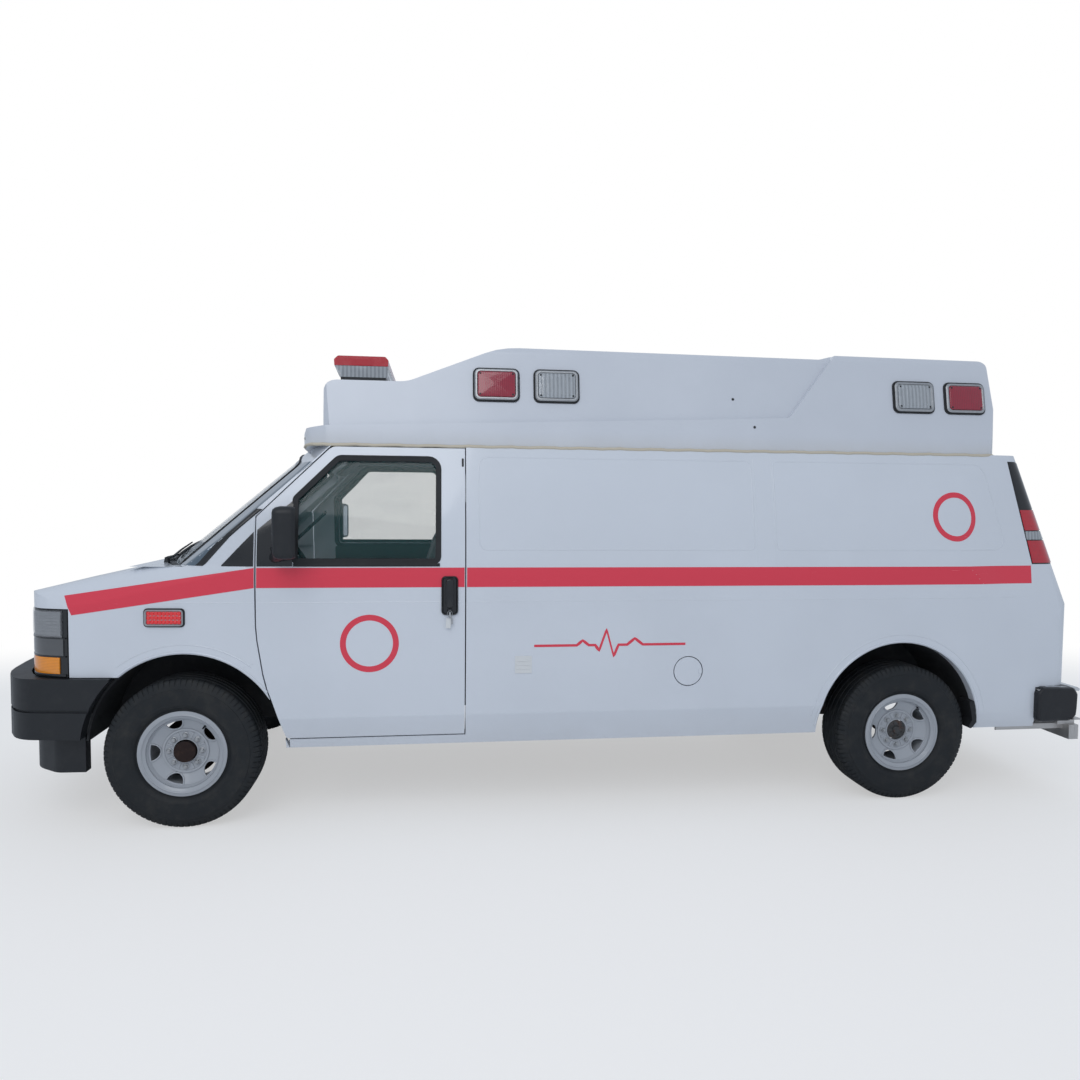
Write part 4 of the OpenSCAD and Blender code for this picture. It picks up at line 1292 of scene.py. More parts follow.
def makeCowl():
    shell = skin("cab_frame", "windshield")
    down = Vector((0, 0, -1))
    shape = Shape()
    rows = []
    for y in between(-cowl["half"], cowl["half"], 48):
        front = cowl["front"] + max(0, abs(y) - cowl["flat"]) * cowl["sweep"]
        back = screen["x"] + screenCurve(y) + cowl["gap"]
        xs = between(front, max(front + cowl["least"], back), 4)
        rows.append([(pt(x, y, 1700), down) for x in xs])
    patch(shape, shell, rows, cowl["lift"], 1)
    half, count, front, sweep = cowl["slots"]
    for y in between(-half, half, count):
        spot = onSkin(shell, pt(front + max(0, abs(y) - cowl["flat"]) * sweep, y, 1700), down)
        if spot:
            shape.block(spot[0] + Vector((-0.012, -0.006, 0.003)), spot[0] + Vector((0.016, 0.006, 0.009)))
    shape.make("cowl", "van", "black_plastic", smooth=40)


def makeWipers():
    glass = skin("windshield")
    wipers = Shape()
    for y0, y1 in wiper["spans"]:
        foot = pt(wiper["footX"] + y0 * y0 / 5600 * 0.9, y0, screen["belt"] - 2)
        wipers.tube([foot, foot + Vector((0, 0, 0.030))], [0.017, 0.012], 12)
        arm, blade = ([onSkin(glass, *screenRay(a, y0 + (y1 - y0) * part)) for a, part in wiper[k]]
                      for k in ("arm", "blade"))
        arm = [foot + Vector((0, 0, 0.026))] + [h + n * 0.026 for h, n in arm]
        wipers.tube(arm, wiper["radii"], 8)
        wipers.tube([h + n * 0.012 for h, n in blade], 0.006, 8)
        wipers.tube([h + n * 0.004 for h, n in blade], 0.003, 6)
    wipers.make("wipers", "van", "black_plastic", smooth=50)


makeDoorSeals()
makeScreen()
makeCowl()
makeWipers()


# Mirrors

mirror = {
    "middle": (540, 1112, 1528), "size": (158, 262, 38), "turn": -10,
    "shell": [(-0.060, 0.030), (-0.056, 0.016), (-0.044, 0.006), (-0.020, 0.0), (0.026, 0.0), (0.040, 0.003),
              (0.046, 0.010)],  # depth, and how far the outline has drawn in
    "arms": [  # points and radii
        ([(470, 992, 1398), (486, 1030, 1402), (512, 1072, 1412), (530, 1092, 1440)],
         [0.030, 0.026, 0.026, 0.032], 14),
        ([(470, 992, 1440), (492, 1040, 1446), (524, 1090, 1470)], [0.024, 0.020, 0.024], 12),
    ],
}


def makeMirrors():
    for side in (-1, 1):
        door, window, word = doorNodes(side)
        x, y, z = mirror["middle"]
        a = math.radians(mirror["turn"] * side)
        back, across = (math.cos(a), math.sin(a), 0), (-math.sin(a), math.cos(a), 0)
        head, glass, arm = Shape(), Shape(), Shape()
        head.place = glass.place = standing(pt(x, side * y, z), across, back)
        outline = sizedPill(mirror["size"], 6)
        head.loops([[(u, v, w) for u, v in shrunk(outline, d)] for w, d in mirror["shell"]])
        head.rim(shrunk(outline, 0.006), shrunk(outline, 0.017), 0.038, 0.050, 0.002)
        glass.slab(shrunk(outline, 0.017), 0.034, 0.0465)
        for points, radii, sides in mirror["arms"]:
            arm.tube([pt(x, side * y, z) for x, y, z in points], radii, sides)
        piece = head.make(f"{word}_mirror_head", door, "black_plastic", smooth=50)
        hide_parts(f"{word}_mirror")
        glass.make(f"{word}_mirror_glass", door, "mirror_glass")
        arm.make(f"{word}_mirror_arm", door, "black_plastic", smooth=50)


# Handles, plates and small fittings on the sides

handle = {"x": 1356, "z": 1197, "size": (88, 204, 22), "pull": (40, 150, 16), "lock": -0.078}
keyring = {
    "radius": 0.016, "drop": -0.094, "lift": 0.016,
    "keys": [([(-0.004, -0.118), (0.005, -0.118), (0.0055, -0.086), (-0.0045, -0.086)], 0.012),
             ([(0.008, -0.150), (0.017, -0.148), (0.011, -0.104), (0.004, -0.105)], 0.015)],
    "tag": [(-0.022, -0.168), (0.004, -0.172), (0.008, -0.120), (-0.018, -0.117)],
}
sidePlate = {"x": 1746, "z": 826, "size": (90, 93, 5), "bars": (-0.022, 0.0, 0.022), "bar": (0.036, 0.004)}
fuelTab = {
    "x": 2721, "z": 774,
    "outline": [(0.0, -0.016), (0.007, -0.012), (0.009, 0), (0.007, 0.012), (0.0, 0.016), (-0.010, 0.012),
                (-0.012, 0), (-0.010, -0.012)],
}
hingePlate = {"x": (1546, 2776), "z": (700, 1640), "size": (20, 84, 6)}
latchCover = {"x": 1424, "z": 1896, "size": (10, 46, 4)}


def placeBeside(node, x, z, side):
    return facing(*onSkin(skin(node), *besideOf(x, z, side)), side)


def makeHandle(name, door, x, z, side):
    shape = Shape()
    shape.place = placeBeside(door, x, z, side)
    outline = sizedPill(handle["size"])
    shape.rim(outline, shrunk(outline, 0.010), -0.004, 0.010, 0.004)
    shape.slab(shrunk(outline, 0.009), -0.004, 0.002)
    pull = sizedPill(handle["pull"])
    shape.slab([(u, v + 0.012) for u, v in pull], 0.0, 0.022, 0.006, 0.003)
    shape.place = shape.place @ Matrix.Translation((0, handle["lock"], 0))
    shape.lathe([(0, 0.012), (0.011, 0.012), (0.013, 0.009), (0.013, 0.0), (0, 0.0)], 20, False)
    shape.make(name, door, "black_trim", smooth=45)


def makeKeys(name, door, x, z, side):
    # Keys left hanging in the lock on their ring
    ring, tag = Shape(), Shape()
    ring.place = tag.place = placeBeside(door, x, z, side)
    r, drop, lift = (keyring[k] for k in ("radius", "drop", "lift"))
    turns = [math.pi * i / 8 for i in range(16)]
    ring.tube([(0.013 * math.cos(a), drop + r * math.sin(a), lift) for a in turns], 0.0013, 6, True)
    for outline, back in keyring["keys"]:
        ring.slab(outline, back, back + 0.0025, 0.0005)
    ring.make(name + "_keys", door, "plated_steel")
    tag.slab(keyring["tag"], 0.009, 0.0115, 0.0006)
    tag.make(name + "_tag", door, "plate_white")


def makeSides():
    left = ("left_door_handle", "front_left_door", handle["x"], handle["z"], -1)
    makeHandle(*left)
    makeKeys(*left)
    makeHandle("right_door_handle", "front_right_door", handle["x"], handle["z"], 1)
    makeHandle("side_door_front_handle", "side_door_front", 2200, 1150, 1)
    plate = Shape()
    plate.place = placeBeside("left_side_wall", sidePlate["x"], sidePlate["z"], -1)
    plate.slab(sizedPill(sidePlate["size"]), -0.002, 0.003, 0.001)
    u, v = sidePlate["bar"]
    for up in sidePlate["bars"]:
        plate.slab([(-u, up - v), (u, up - v), (u, up + v), (-u, up + v)], 0, 0.0045, 0.001)
    plate.make("blank_plate_side", "van", "plate_white")
    tab = Shape()
    tab.place = placeBeside("fuel_door", fuelTab["x"], fuelTab["z"], -1)
    tab.slab(fuelTab["outline"], -0.002, 0.003, 0.001)
    tab.make("fuel_door_tab", "fuel_door", "white_paint")
    hinges = Shape()
    for x in hingePlate["x"]:
        for z in hingePlate["z"]:
            hinges.place = placeBeside("right_side_wall", x, z, 1)
            hinges.slab(sizedPill(hingePlate["size"]), -0.002, 0.006, 0.002)
    hinges.make("side_door_hinge_plates", "van", "white_paint")
    for side in (-1, 1):
        door, window, word = doorNodes(side)
        latch = Shape()
        latch.place = placeBeside(door, latchCover["x"], latchCover["z"], side)
        latch.slab(sizedPill(latchCover["size"]), -0.002, 0.003, 0.001)
        latch.make(f"{word}_door_latch_cover", door, "rubber_seal")


makeMirrors()
makeSides()
print("cab made")


# Roof seams, presses and arch lips

presses = [  # outlines pressed into the sides: x, z, corner radius
    [(1511, 1435, 45), (3024, 1435, 30), (3024, 1927, 30), (1511, 1927, 45)],
    [(3152, 1435, 30), (4572, 1435, 60), (4560, 1480, 40), (4446, 1878, 70), (4400, 1927, 60),
     (3152, 1927, 30)],
]
sideDoorEnd = 2790  # on the right, the wall starts behind the side doors
arches = {  # x, z and radius; spans in degrees of the lip and of the fold outside it
    "front": ((15, 405, 498), (36, 131), (52, 128)), "rear": ((3903, 425, 486), (2, 178), (8, 172)),
    "seam": [(309, 832), (362, 853)],
}
crease = {"z": 1164, "fender": (-90, 362), "door": (382, 1428), "wall": (1450, 4700), "step": 60}
roofLines = {
    "sealZ": 1993, "sealFrom": 560, "sealTo": 4540, "seams": (3039, 3144), "seamZ": (1362, 1958),
    "screws": ((560, 2030), (3060, 2120), (2950, 2280)),
    "screw": [(0, 0.0045), (0.005, 0.004), (0.008, 0.001), (0.008, -0.002), (0, -0.002)],
}


def makePresses():
    for side, node in ((-1, "left_side_wall"), (1, "right_side_wall")):
        tree = skin(node)
        lines = Shape()
        for rows in presses:
            outline = finer(roundCorners(rows, 6), 30)
            whole = side < 0 or rows[0][0] > sideDoorEnd
            if not whole:
                outline = [(x, z) for x, z in outline if x > sideDoorEnd]
            bead(lines, tree, outline, side, 4.2, -2.6, ring=whole)
        for x in roofLines["seams"]:
            line = [(x, z) for z in between(*roofLines["seamZ"], 24)]
            bead(lines, tree, line, side, 3.0, -2.2, ring=False)
        lines.make(f"{node}_presses", "van", "white_paint", smooth=70)


def archLine(arch, extra, start, end, steps=60):
    cx, cz, r = arch
    return arc(cx, cz, r + extra, start, end, steps)


def makeArchLips():
    for side, word in ((-1, "left"), (1, "right")):
        lips = Shape()
        wall = f"{word}_side_wall"
        for end, node in (("front", "front_fenders"), ("rear", wall)):
            arch, lip, fold = arches[end]
            bead(lips, skin(node), archLine(arch, 9, *lip), side, 7.5, -1.5, ring=False, sides=10)
            bead(lips, skin(node), archLine(arch, 47, *fold), side, 4.5, -2.6, ring=False)
        bead(lips, skin("front_fenders"), finer(arches["seam"], 12, ring=False), side, 1.6, -0.6, ring=False)
        lips.make(f"{word}_arch_lips", "van", "white_paint", smooth=70)
        door = f"front_{word}_door"
        spots = (("fender", "front_fenders", "van"), ("door", door, door), ("wall", wall, "van"))
        for key, node, body in spots:
            start, end = crease[key]
            if node == "right_side_wall":
                start = sideDoorEnd
            steps = max(4, round((end - start) / crease["step"]))
            shape = Shape()
            line = [(x, crease["z"]) for x in between(start, end, steps)]
            bead(shape, skin(node), line, side, 6.0, -4.9, ring=False)
            shape.make(f"{node}_{word}_crease", body, "white_paint", smooth=70)


def makeRoofSeams():
    seal = Shape()
    roof = skin("high_roof")
    for side in (-1, 1):
        path = []
        for x in between(roofLines["sealFrom"], roofLines["sealTo"], 120):
            hit = onSkin(roof, *besideOf(x, roofLines["sealZ"], side))
            if hit:
                wave = 0.0016 * math.sin(x * 0.031) + 0.001 * math.sin(x * 0.083)  # laid by hand
                path.append(hit[0] + Vector((0, side * 0.004, -0.010 + wave)))
        seal.tube(path, 0.0085, 8)
    seal.make("roof_sealant", "van", "sealant", smooth=70)
    screws = Shape()
    for side in (-1, 1):
        for x, z in roofLines["screws"]:
            screws.place = placeBeside("high_roof", x, z, side)
            screws.lathe(roofLines["screw"], 16, False)
    screws.make("roof_screws", "van", "black_trim", smooth=50)


makePresses()
makeArchLips()
makeRoofSeams()
print("body lines made")


# Rear bumper, doors and plate

bumperEnd = {
    "outline": [(4758, 440, 26), (4800, 430, 30), (4975, 434, 50), (5014, 470, 30), (5018, 596, 40),
                (4990, 632, 24), (4790, 636, 20), (4758, 606, 20)],
    "layers": ((850, 6), (880, 0), (950, -1), (985, 0), (998, 4), (1004, 10), (1007, 20)),  # y, drawn in
    "top": [(4800, 618, 4), (5040, 606, 6), (5046, 618, 6), (5030, 630, 8), (4830, 636, 8)],
    "topY": 890, "bumps": 9,
}


def makeBumperEnds():
    for side, word in ((-1, "left"), (1, "right")):
        cap, chrome = Shape(), Shape()
        outline = finer(roundCorners(bumperEnd["outline"], 5), 14)
        rings = []
        random.seed(3)
        bumps = [(random.uniform(0, 6.3), random.randint(2, 9), random.uniform(0.4, 2.2))
                 for _ in range(bumperEnd["bumps"])]
        for y, d in bumperEnd["layers"]:
            ring = []
            for i, (x, z) in enumerate(shrunk(outline, d)):
                a = 6.283 * i / len(outline)
                wave = sum(m * math.sin(a * k + p + y * 0.045) for p, k, m in bumps) * 0.35
                ring.append(pt(x + wave * 0.4, side * (y - abs(wave) * 0.8), z + wave * 0.5))
            rings.append(ring)
        cap.loops(rings)
        cap.make(f"{word}_bumper_end", "van", "wrapping", "black_trim", smooth=60)
        chrome.place = acrossVan(side * bumperEnd["topY"])
        chrome.slab(metres(roundCorners(bumperEnd["top"], 4)), -0.09, 0.09, 0.004)
        chrome.make(f"{word}_bumper_top", "van", "chrome_trim")


rearDoor = {
    "window": [(130, 1390, 40), (690, 1390, 40), (690, 1840, 40), (130, 1840, 40)],  # y, z, corner radius
    "hinge": (745, (800, 1230, 1700), (78, 46, 9)),  # y, heights, size
    "handle": (-52, 1180), "grip": (74, 190, 22), "pull": (34, 140, 14),
}
rearPlate = {"x": 5049, "z": 535, "size": (305, 153, 10), "bolts": (88.9, 60.3)}
plateLamp = {"low": (4996, 616), "high": (5030, 630), "y": 90, "half": 30}
mudflap = {
    "y": 935, "half": 0.05,
    "outline": [(4338, 560, 4), (4375, 566, 8), (4388, 440, 10), (4352, 398, 12), (4338, 414, 6),
                (4360, 452, 14), (4352, 500, 10)],
}
stepGrip = {"low": (4952, 447), "high": (5040, 449.5), "count": 7, "apart": 300, "half": 120}


def fromBehind(tree, y, z):
    return onSkin(tree, pt(5400, y, z), Vector((-1, 0, 0)))


def makeRearDoor(side, door, pane):
    seal, hinges = Shape(), Shape()
    outline = finer(roundCorners(rearDoor["window"]), 60)
    rings = []
    for (y0, z0), (y1, z1) in zip(grown(outline, 10), shrunk(outline, 14)):
        a, b = fromBehind(skin(door), side * y0, z0), fromBehind(skin(pane), side * y1, z1)
        if a and b:
            high = a[0] + a[1] * 0.0035
            within = Vector((high.x - (z1 - z0) * 0.00036, b[0].y, b[0].z))  # follows the door's slope
            rings.append([a[0] - a[1] * 0.002, high, within, b[0] - b[1] * 0.001])
    seal.loops(rings, ends=False, ring=True)
    seal.make(f"{door}_seal", door, "rubber_seal", smooth=40)
    y, heights, size = rearDoor["hinge"]
    for z in heights:
        hit, normal = fromBehind(skin(door), side * y, z)
        hinges.place = standing(hit, (0, 1, 0), normal)
        hinges.slab(sizedPill(size), -0.002, 0.006, 0.002)
        hinges.tube([(side * 0.030, -0.024, 0.006), (side * 0.030, 0.024, 0.006)], 0.009, 12)
    hinges.make(f"{door}_hinges", door, "white_paint", smooth=45)


def makeRearHandle():
    shape = Shape()
    hit, normal = fromBehind(skin("rear_left_door"), *rearDoor["handle"])
    shape.place = standing(hit, (0, 1, 0), normal)
    outline = sizedPill(rearDoor["grip"])
    shape.rim(outline, shrunk(outline, 0.010), -0.003, 0.010, 0.004)
    shape.slab(shrunk(outline, 0.009), -0.003, 0.002)
    shape.slab(sizedPill(rearDoor["pull"]), 0, 0.022, 0.006, 0.003)
    shape.make("rear_left_door_handle", "rear_left_door", "black_trim", smooth=45)


def makeRearFittings():
    plate, bolts, lamp, flap, steps = Shape(), Shape(), Shape(), Shape(), Shape()
    x, z = rearPlate["x"], rearPlate["z"]
    plate.place = standing(pt(x, 0, z), (0, 1, 0), (1, 0, 0))
    plate.slab(sizedPill(rearPlate["size"]), 0.0, 0.003, 0.001)
    plate.make("rear_plate", "van", "plate_white")
    out, up = rearPlate["bolts"]
    for y, dz in ((-out, -up), (-out, up), (out, -up), (out, up)):
        bolts.place = standing(pt(x + 3, y, z + dz), (0, 1, 0), (1, 0, 0))
        bolts.lathe([(0, 0.004), (0.006, 0.0035), (0.008, 0.0), (0, 0)], 16, False)
    bolts.make("rear_plate_bolts", "van", "plated_steel")
    for side in (-1, 1):
        boxed(lamp, plateLamp["low"], plateLamp["high"], side * plateLamp["y"], plateLamp["half"])
    lamp.make("plate_lamps", "van", "black_plastic", bevel=0.003)
    for side in (-1, 1):
        flap.place = acrossVan(side * mudflap["y"])
        flap.slab(metres(roundCorners(mudflap["outline"], 4)), -mudflap["half"], mudflap["half"], 0.002)
    flap.make("mudflap_ends", "van", "rubber_seal", smooth=45)
    for i in range(stepGrip["count"]):
        y = (i - (stepGrip["count"] - 1) / 2) * stepGrip["apart"]
        boxed(steps, stepGrip["low"], stepGrip["high"], y, stepGrip["half"])
    steps.make("step_grips", "van", "bright_metal", bevel=0.001)


makeBumperEnds()
makeRearDoor(-1, "rear_left_door", "rear_left_window")
makeRearDoor(1, "rear_right_door", "rear_right_window")
makeRearHandle()
makeRearFittings()
print("rear made")


# Seats and cushions

seats = {
    "y": 430, "lean": 14,
    "cushion": ((958, 832), (530, 520, 118)),  # x and z of the middle; wide, long, thick
    "back": ((1250, 1168), (505, 640, 112)), "rest": ((1352, 1586), (262, 200, 84)),
    "base": ((782, 641), (1158, 770), 238), "posts": ((1326, 1450), (1346, 1530), 55),
    "side": [(1130, 800, 20), (1236, 800, 20), (1250, 872, 30), (1180, 900, 30), (1140, 870, 20)],
    "sideY": 262,
}


def cushion(name, place, wide, long, thick, coat, fill, channels=4):
    # A stuffed pad: crowned face, rolled edges and sewn channels across its width
    shape = Shape()
    shape.place = place
    across, along = 28, 30
    w, l, t = wide / 2000, long / 2000, thick / 2000
    rings = []
    for j in range(along + 1):
        v = -1 + 2 * j / along
        edge = (1 - abs(v) ** 7) ** 0.5
        ring = []
        for i in range(across):
            a = 2 * math.pi * i / across
            c, s = math.cos(a), math.sin(a)
            u = math.copysign(abs(c) ** 0.32, c)
            h = math.copysign(abs(s) ** 0.55, s)
            seam = 0.010 * math.exp(-((abs(u) - 0.62) / 0.035) ** 2)  # where the side bolsters start
            channel = 0.006 * math.exp(-((v * channels * 0.5) % 1 - 0.5) ** 2 / 0.004)
            groove = seam + channel * (abs(u) < 0.62)
            crown = 0.012 * (1 - u * u) * (1 - v * v)
            up = h * t * (0.35 + 0.65 * edge) + (crown - groove * (abs(v) < 0.93) if h > 0.5 else 0)
            ring.append((u * w * (0.93 + 0.07 * edge), v * l, up))
        rings.append(ring)
    shape.loops(rings)
    piece = shape.make(name, "van", coat, smooth=70)
    return piece


def makeSeats():
    lean = math.radians(seats["lean"])
    shells = Shape()
    ahead = (-math.cos(lean), 0, math.sin(lean))
    for side, word in ((-1, "left"), (1, "right")):
        y = side * seats["y"]
        for key, name, facing, fill, channels in (
                ("cushion", "seat_cushion", (-0.05, 0, 1), 0.7, 4), ("back", "seat_back", ahead, 0.75, 5),
                ("rest", "head_rest", ahead, 0.8, 1)):
            (x, z), size = seats[key]
            place = standing(pt(x, y, z), (0, 1, 0), facing)
            cushion(f"{word}_{name}", place, *size, "seat_vinyl", fill, channels)
        shells.place = Matrix.Identity(4)
        low, high, half = seats["base"]
        boxed(shells, low, high, y, half)
        foot, top, apart = seats["posts"]
        for across in (y - apart, y + apart):
            shells.tube([pt(x, across, z) for x, z in (foot, top)], 0.007, 10)
        for edge in (-1, 1):
            shells.place = acrossVan(y + edge * seats["sideY"])
            shells.slab(metres(roundCorners(seats["side"])), -0.012, 0.012, 0.004)
    piece = shells.make("seat_bases", "van", "dash_plastic", bevel=0.006)
    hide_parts("cab_seats")


bench = {
    "x": (3435, 3890, 4345), "seat": ((715, 1122), (372, 452, 62)), "back": ((858, 1380), (300, 440, 56)),
}


def makeBench():
    for i, x in enumerate(bench["x"]):
        place, size = bench["seat"]
        flat = standing(pt(x, *place), (0, 1, 0), (0, 0, 1))
        cushion(f"bench_cushion_{i + 1}", flat, *size, "bench_vinyl", 0.85, 2)
        place, size = bench["back"]
        upright = standing(pt(x, *place), (0, 0, 1), (0, -1, 0))
        cushion(f"bench_back_{i + 1}", upright, *size, "bench_vinyl", 0.85, 2)


# Dashboard, steering wheel and linings

dash = {
    "vents": (-640, -220, 220, 640), "vent": ((150, 74, 14), (132, 56, 10)), "slat": (0.064, 0.002),
    "cluster": ((336, -430, 1225), (360, 150, 50), (330, 122, 44)),
    "dials": ((-520, 44), (-340, 44), (-430, 26)),
    "console": ((360, 0, 1010), (300, 280, 24)), "radio": ((380, 0, 1062), (190, 88, 8)),
    "box": ((362, 470, 1010), (420, 170, 20)),
    "knobs": (-84, 0, 84), "knob": [(0, 0.026), (0.018, 0.024), (0.022, 0.018), (0.022, 0), (0, 0)],
    "column": [(40, -430, 1130), (240, -430, 1200), (430, -430, 1246)],
    "stalks": ([(408, -395, 1262), (412, -300, 1290), (418, -262, 1300)],
               [(408, -465, 1262), (412, -560, 1290), (418, -598, 1300)]),
}


def facingBack(spot, rise=0.0):
    # A place on the dashboard's rear, u to the right and w towards the seats
    return standing(pt(*spot), (0, 1, 0), (1, 0, rise))


def makeDash():
    trim, dark, bright = Shape(), Shape(), Shape()
    outer, inner = (sizedPill(size) for size in dash["vent"])
    u, v = dash["slat"]
    for y in dash["vents"]:
        dark.place = facingBack((357, y, 1090), 0.1)
        dark.rim(outer, inner, -0.01, 0.012, 0.003)
        for up in between(-0.020, 0.020, 4):
            dark.slab([(-u, up - v), (u, up - v), (u, up + v), (-u, up + v)], -0.004, 0.007)
    spot, outer, inner = dash["cluster"]
    dark.place = facingBack(spot, 0.6)
    dark.rim(sizedPill(outer), sizedPill(inner), -0.02, 0.055, 0.008)
    for y, r in dash["dials"]:
        bright.place = facingBack((344, y, 1226), 0.6)
        outer, inner = metres(pill(2 * r, 2 * r, r - 1, 8)), metres(pill(2 * r - 8, 2 * r - 8, r - 5, 8))
        bright.rim(outer, inner, 0, 0.012, 0.002)
    spot, size = dash["console"]
    trim.place = facingBack(spot)
    trim.slab(sizedPill(size), -0.03, 0.020, 0.008)
    for y in dash["knobs"]:
        trim.place = facingBack((381, y, 950))
        trim.lathe(dash["knob"], 24, False)
    spot, size = dash["radio"]
    dark.place = facingBack(spot)
    dark.slab(sizedPill(size), 0, 0.006, 0.002)
    spot, size = dash["box"]
    trim.place = facingBack(spot)
    trim.slab(sizedPill(size), -0.02, 0.008, 0.005)
    trim.place = Matrix.Identity(4)
    trim.tube([pt(*spot) for spot in dash["column"]], 0.044, 16)
    for stalk in dash["stalks"]:
        trim.tube([pt(*spot) for spot in stalk], [0.010, 0.008, 0.009], 10)
    trim.make("dash_trim", "van", "dash_plastic", smooth=45)
    dark.make("dash_vents", "van", "pocket_dark", smooth=45)
    bright.make("dash_rings", "van", "chrome_trim", smooth=45)


wheel = {
    "middle": (530, -430, 1270), "tilt": 62, "radius": 0.186, "grip": 0.0135, "steps": 72,
    "hub": (150, 112, 34), "spokes": (20, 160, 270),
    "spoke": [(0.05, -0.024), (0.180, -0.014), (0.180, 0.014), (0.05, 0.024)],
}


def makeWheel():
    shape = Shape()
    tilt = math.radians(wheel["tilt"])
    place = standing(pt(*wheel["middle"]), (0, 1, 0), (math.sin(tilt), 0, math.cos(tilt)))
    shape.place = place
    steps, r = wheel["steps"], wheel["radius"]
    turns = [2 * math.pi * i / steps for i in range(steps)]
    grip = [wheel["grip"] + 0.0012 * (abs((i % 18) - 9) < 3) for i in range(steps)]  # swells between spokes
    shape.tube([(r * math.cos(a), r * math.sin(a), 0) for a in turns], grip, 12, True)
    shape.slab(sizedPill(wheel["hub"]), -0.02, 0.022, 0.010, 0.008)
    for a in wheel["spokes"]:
        shape.place = place @ Matrix.Rotation(math.radians(a), 4, "Z")
        shape.slab(wheel["spoke"], -0.012, 0.004, 0.005)
    shape.place = place
    shape.lathe([(0, -0.146), (0.020, -0.146), (0.022, -0.03), (0, -0.03)], 20, False)
    piece = shape.make("steering_wheel_rim", "steering_wheel", "wheel_grip", smooth=50)
    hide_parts("steering_wheel")


def lining(shape, tree, outer, inner, side, depth):
    rings = []
    for (x0, z0), (x1, z1) in zip(outer, inner):
        a, b = onSkin(tree, *besideOf(x0, z0, side)), onSkin(tree, *besideOf(x1, z1, side))
        if a and b:
            rings.append([a[0] - a[1] * depth / 1000, a[0] - a[1] * (depth + 8) / 1000,
                          b[0] - b[1] * (depth + 8) / 1000, b[0] - b[1] * depth / 1000])
    shape.loops(rings, ends=False, ring=True)


linings = {
    "door": ((452, 1396), (560, 1345)), "depth": 51,  # x and z spans, and how far in from the skin
    "armRest": ((700, 980), (1180, 1020), 858, 34), "pull": ((560, 1180), (660, 1210), 902, 8),
    "grabs": (((250, 1392), (470, 1600)), ((560, 1694), (700, 1828))), "grabY": 850,
    "headliner": ((720, 1948), (1466, 1956), 790), "visor": ((690, 400, 1905), (420, 150, 26)),
}


def makeLinings():
    for side in (-1, 1):
        door, window, word = doorNodes(side)
        panel, rest = Shape(), Shape()
        xs, zs = linings["door"]
        rows = [[besideOf(x, z, side) for z in between(*zs, 10)] for x in between(*xs, 12)]
        depth = linings["depth"]
        patch(panel, skin(door), rows, -depth, depth + 9)
        outline = finer(roundCorners(doorWindow), 60)
        lining(panel, skin(door), grown(outline, 34), grown(outline, 3), side, depth)
        panel.make(f"{word}_door_lining", door, "dash_plastic", smooth=45)
        for key in ("armRest", "pull"):
            low, high, y, half = linings[key]
            boxed(rest, low, high, side * y, half)
        rest.make(f"{word}_arm_rest", door, "dash_plastic", bevel=0.010)
        grab = Shape()
        inner = side * linings["grabY"]
        inwards = Vector((0, -side * 0.03, -0.012))
        for (x0, z0), (x1, z1) in linings["grabs"]:
            a, b = pt(x0, inner, z0), pt(x1, inner, z1)
            path = [a, a + inwards, a.lerp(b, 0.5) + inwards * 1.1, b + inwards, b]
            grab.tube(path, [0.012, 0.012, 0.0125, 0.012, 0.012], 10)
        grab.make(f"{word}_grab_handles", "van", "dash_plastic", smooth=60)
    headliner = Shape()
    low, high, half = linings["headliner"]
    boxed(headliner, low, high, 0, half)
    headliner.make("headliner", "van", "dash_plastic", bevel=0.003)
    visor = Shape()
    (x, y, z), size = linings["visor"]
    for side in (-1, 1):
        visor.place = standing(pt(x, side * y, z), (0, 1, 0), (0.64, 0, -0.76))
        visor.slab(sizedPill(size), -0.008, 0.010, 0.006)
    visor.make("sun_visors", "van", "dash_plastic", smooth=50)


cabinet = {"x": (1810, 2305, 2800), "y": -519, "z": (930, 1480), "door": (474, 520, 14), "pull": (22, 90, 10)}


def makeCabinets():
    doors, pulls = Shape(), Shape()
    for x in cabinet["x"]:
        for z in cabinet["z"]:
            doors.place = standing(pt(x, cabinet["y"], z), (1, 0, 0), (0, 1, 0))
            doors.slab(sizedPill(cabinet["door"]), -0.002, 0.016, 0.004)
            pulls.place = doors.place @ Matrix.Translation((0.19, 0, 0.016))
            pulls.slab(sizedPill(cabinet["pull"]), -0.002, 0.012, 0.004)
    doors.make("cabinet_doors", "van", "cabinet_board", smooth=45)
    pulls.make("cabinet_pulls", "van", "plated_steel", smooth=45)


makeSeats()
makeBench()
makeDash()
makeWheel()
makeLinings()
makeCabinets()
print("inside made")


# Floor and light

studio = {
    "floor": (0.86, 0.87, 0.88), "paleFrom": 3.2, "paleTo": 5.6, "glow": 0.5,  # metres from the middle
    "sky": (0.80, 0.88, 1.0), "skyStrength": 0.62,
    "key": (160, 5.0, (-2.5, -7.0, 6.5)), "fill": (55, 6.0, (4.5, 6.5, 5.5)),  # watts, size, place
    "aim": (0, 0, 1.2),  # what the lights point at
    "size": 40,  # half of the floor, in metres
}


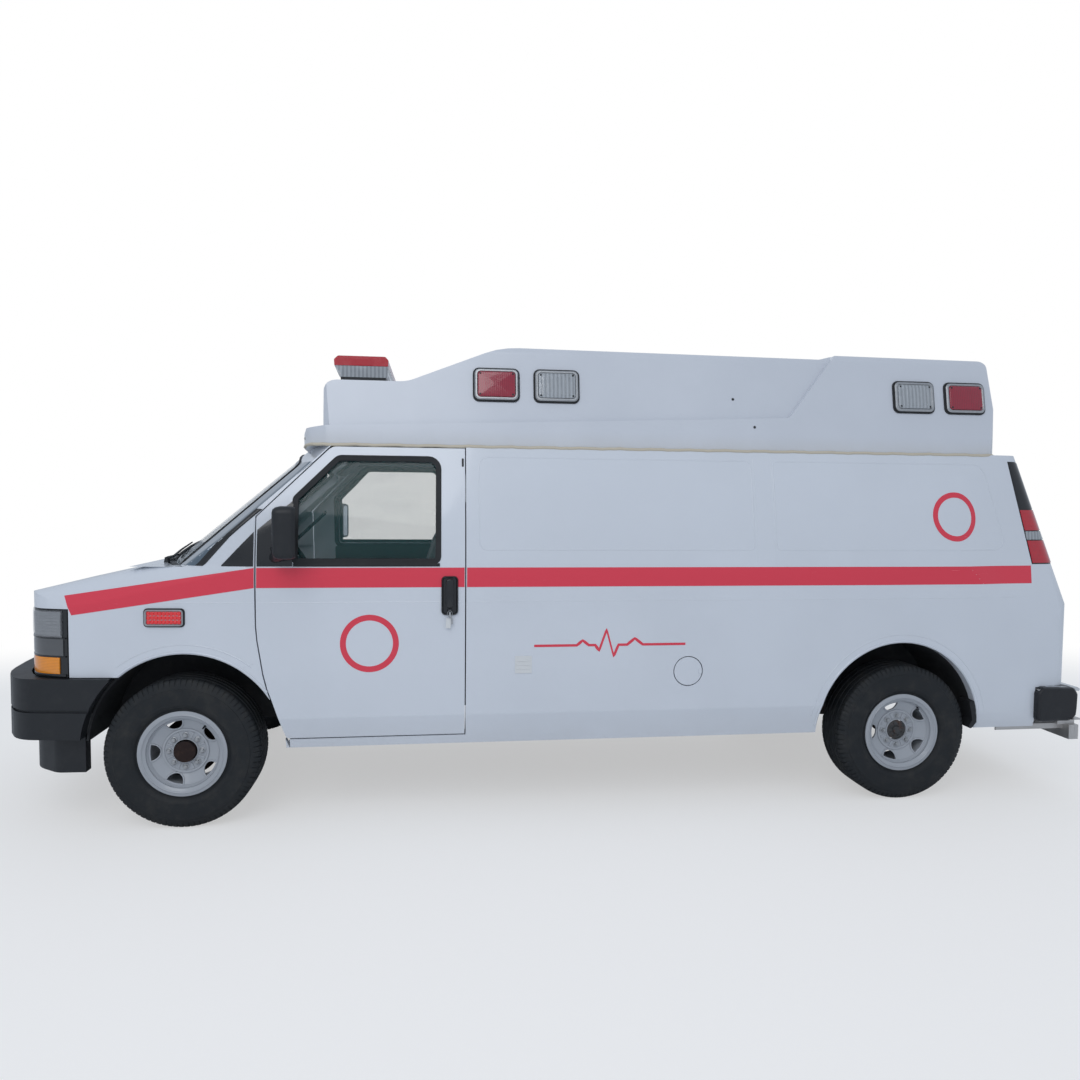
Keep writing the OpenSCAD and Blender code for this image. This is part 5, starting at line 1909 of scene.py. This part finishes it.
def makeFloor():
    floor = Finish("studio floor", studio["floor"])
    shape = bpy.data.meshes.new("studio_floor")
    size = studio["size"]
    corners = [(-size, -size, 0), (size, -size, 0), (size, size, 0), (-size, size, 0)]
    shape.from_pydata(corners, [], [(0, 1, 2, 3)])
    shape.materials.append(floor.material)
    piece = bpy.data.objects.new("studio_floor", shape)
    scene.collection.objects.link(piece)
    place = floor.here() * Vector((0.62, 1, 0))
    away = floor.node("ShaderNodeVectorMath", {"operation": "LENGTH"}, {0: place}, "Value")
    seen = floor.node("ShaderNodeLightPath", {}, {}, "Is Camera Ray")
    glow = floor.node("ShaderNodeEmission", {}, {"Color": (1, 1, 1, 1), "Strength": 1.0})
    fade = floor.step(away, studio["paleFrom"], studio["paleTo"], studio["glow"]) * seen
    floor.feed("Roughness", 0.6 + floor.noise(2) * 0.1)
    matt = Wire(floor, floor.shader.outputs[0])
    both = floor.node("ShaderNodeMixShader", {}, {0: fade, 1: matt, 2: glow})
    floor.tree.links.new(both.socket, floor.tree.nodes["Material Output"].inputs["Surface"])


def makeLight():
    world = bpy.data.worlds.new("studio")
    scene.world = world
    world.use_nodes = True
    sky = Nodes(world.node_tree)
    sky.tree.nodes.clear()
    seen = sky.node("ShaderNodeLightPath", {}, {}, "Is Camera Ray")
    through = Wire(sky, seen.socket.node.outputs["Is Transmission Ray"])
    either = sky.node("ShaderNodeMath", {"operation": "MAXIMUM"}, {0: seen, 1: through})
    colour, strength = (*studio["sky"], 1), studio["skyStrength"]
    pale = sky.node("ShaderNodeBackground", {}, {"Color": colour, "Strength": strength})
    white = sky.node("ShaderNodeBackground", {}, {"Color": (1, 1, 1, 1)})
    both = sky.node("ShaderNodeMixShader", {}, {0: either, 1: pale, 2: white})
    sky.node("ShaderNodeOutputWorld", {}, {0: both})
    for name in ("key", "fill"):
        power, size, spot = studio[name]
        lamp = bpy.data.lights.new(name, "AREA")
        lamp.energy = power
        lamp.size = size
        holder = bpy.data.objects.new(name, lamp)
        holder.location = spot
        holder.rotation_euler = (Vector(studio["aim"]) - Vector(spot)).to_track_quat("-Z", "Y").to_euler()
        scene.collection.objects.link(holder)


makeFloor()
makeLight()
scene.view_settings.view_transform = "Standard"
print("studio made")
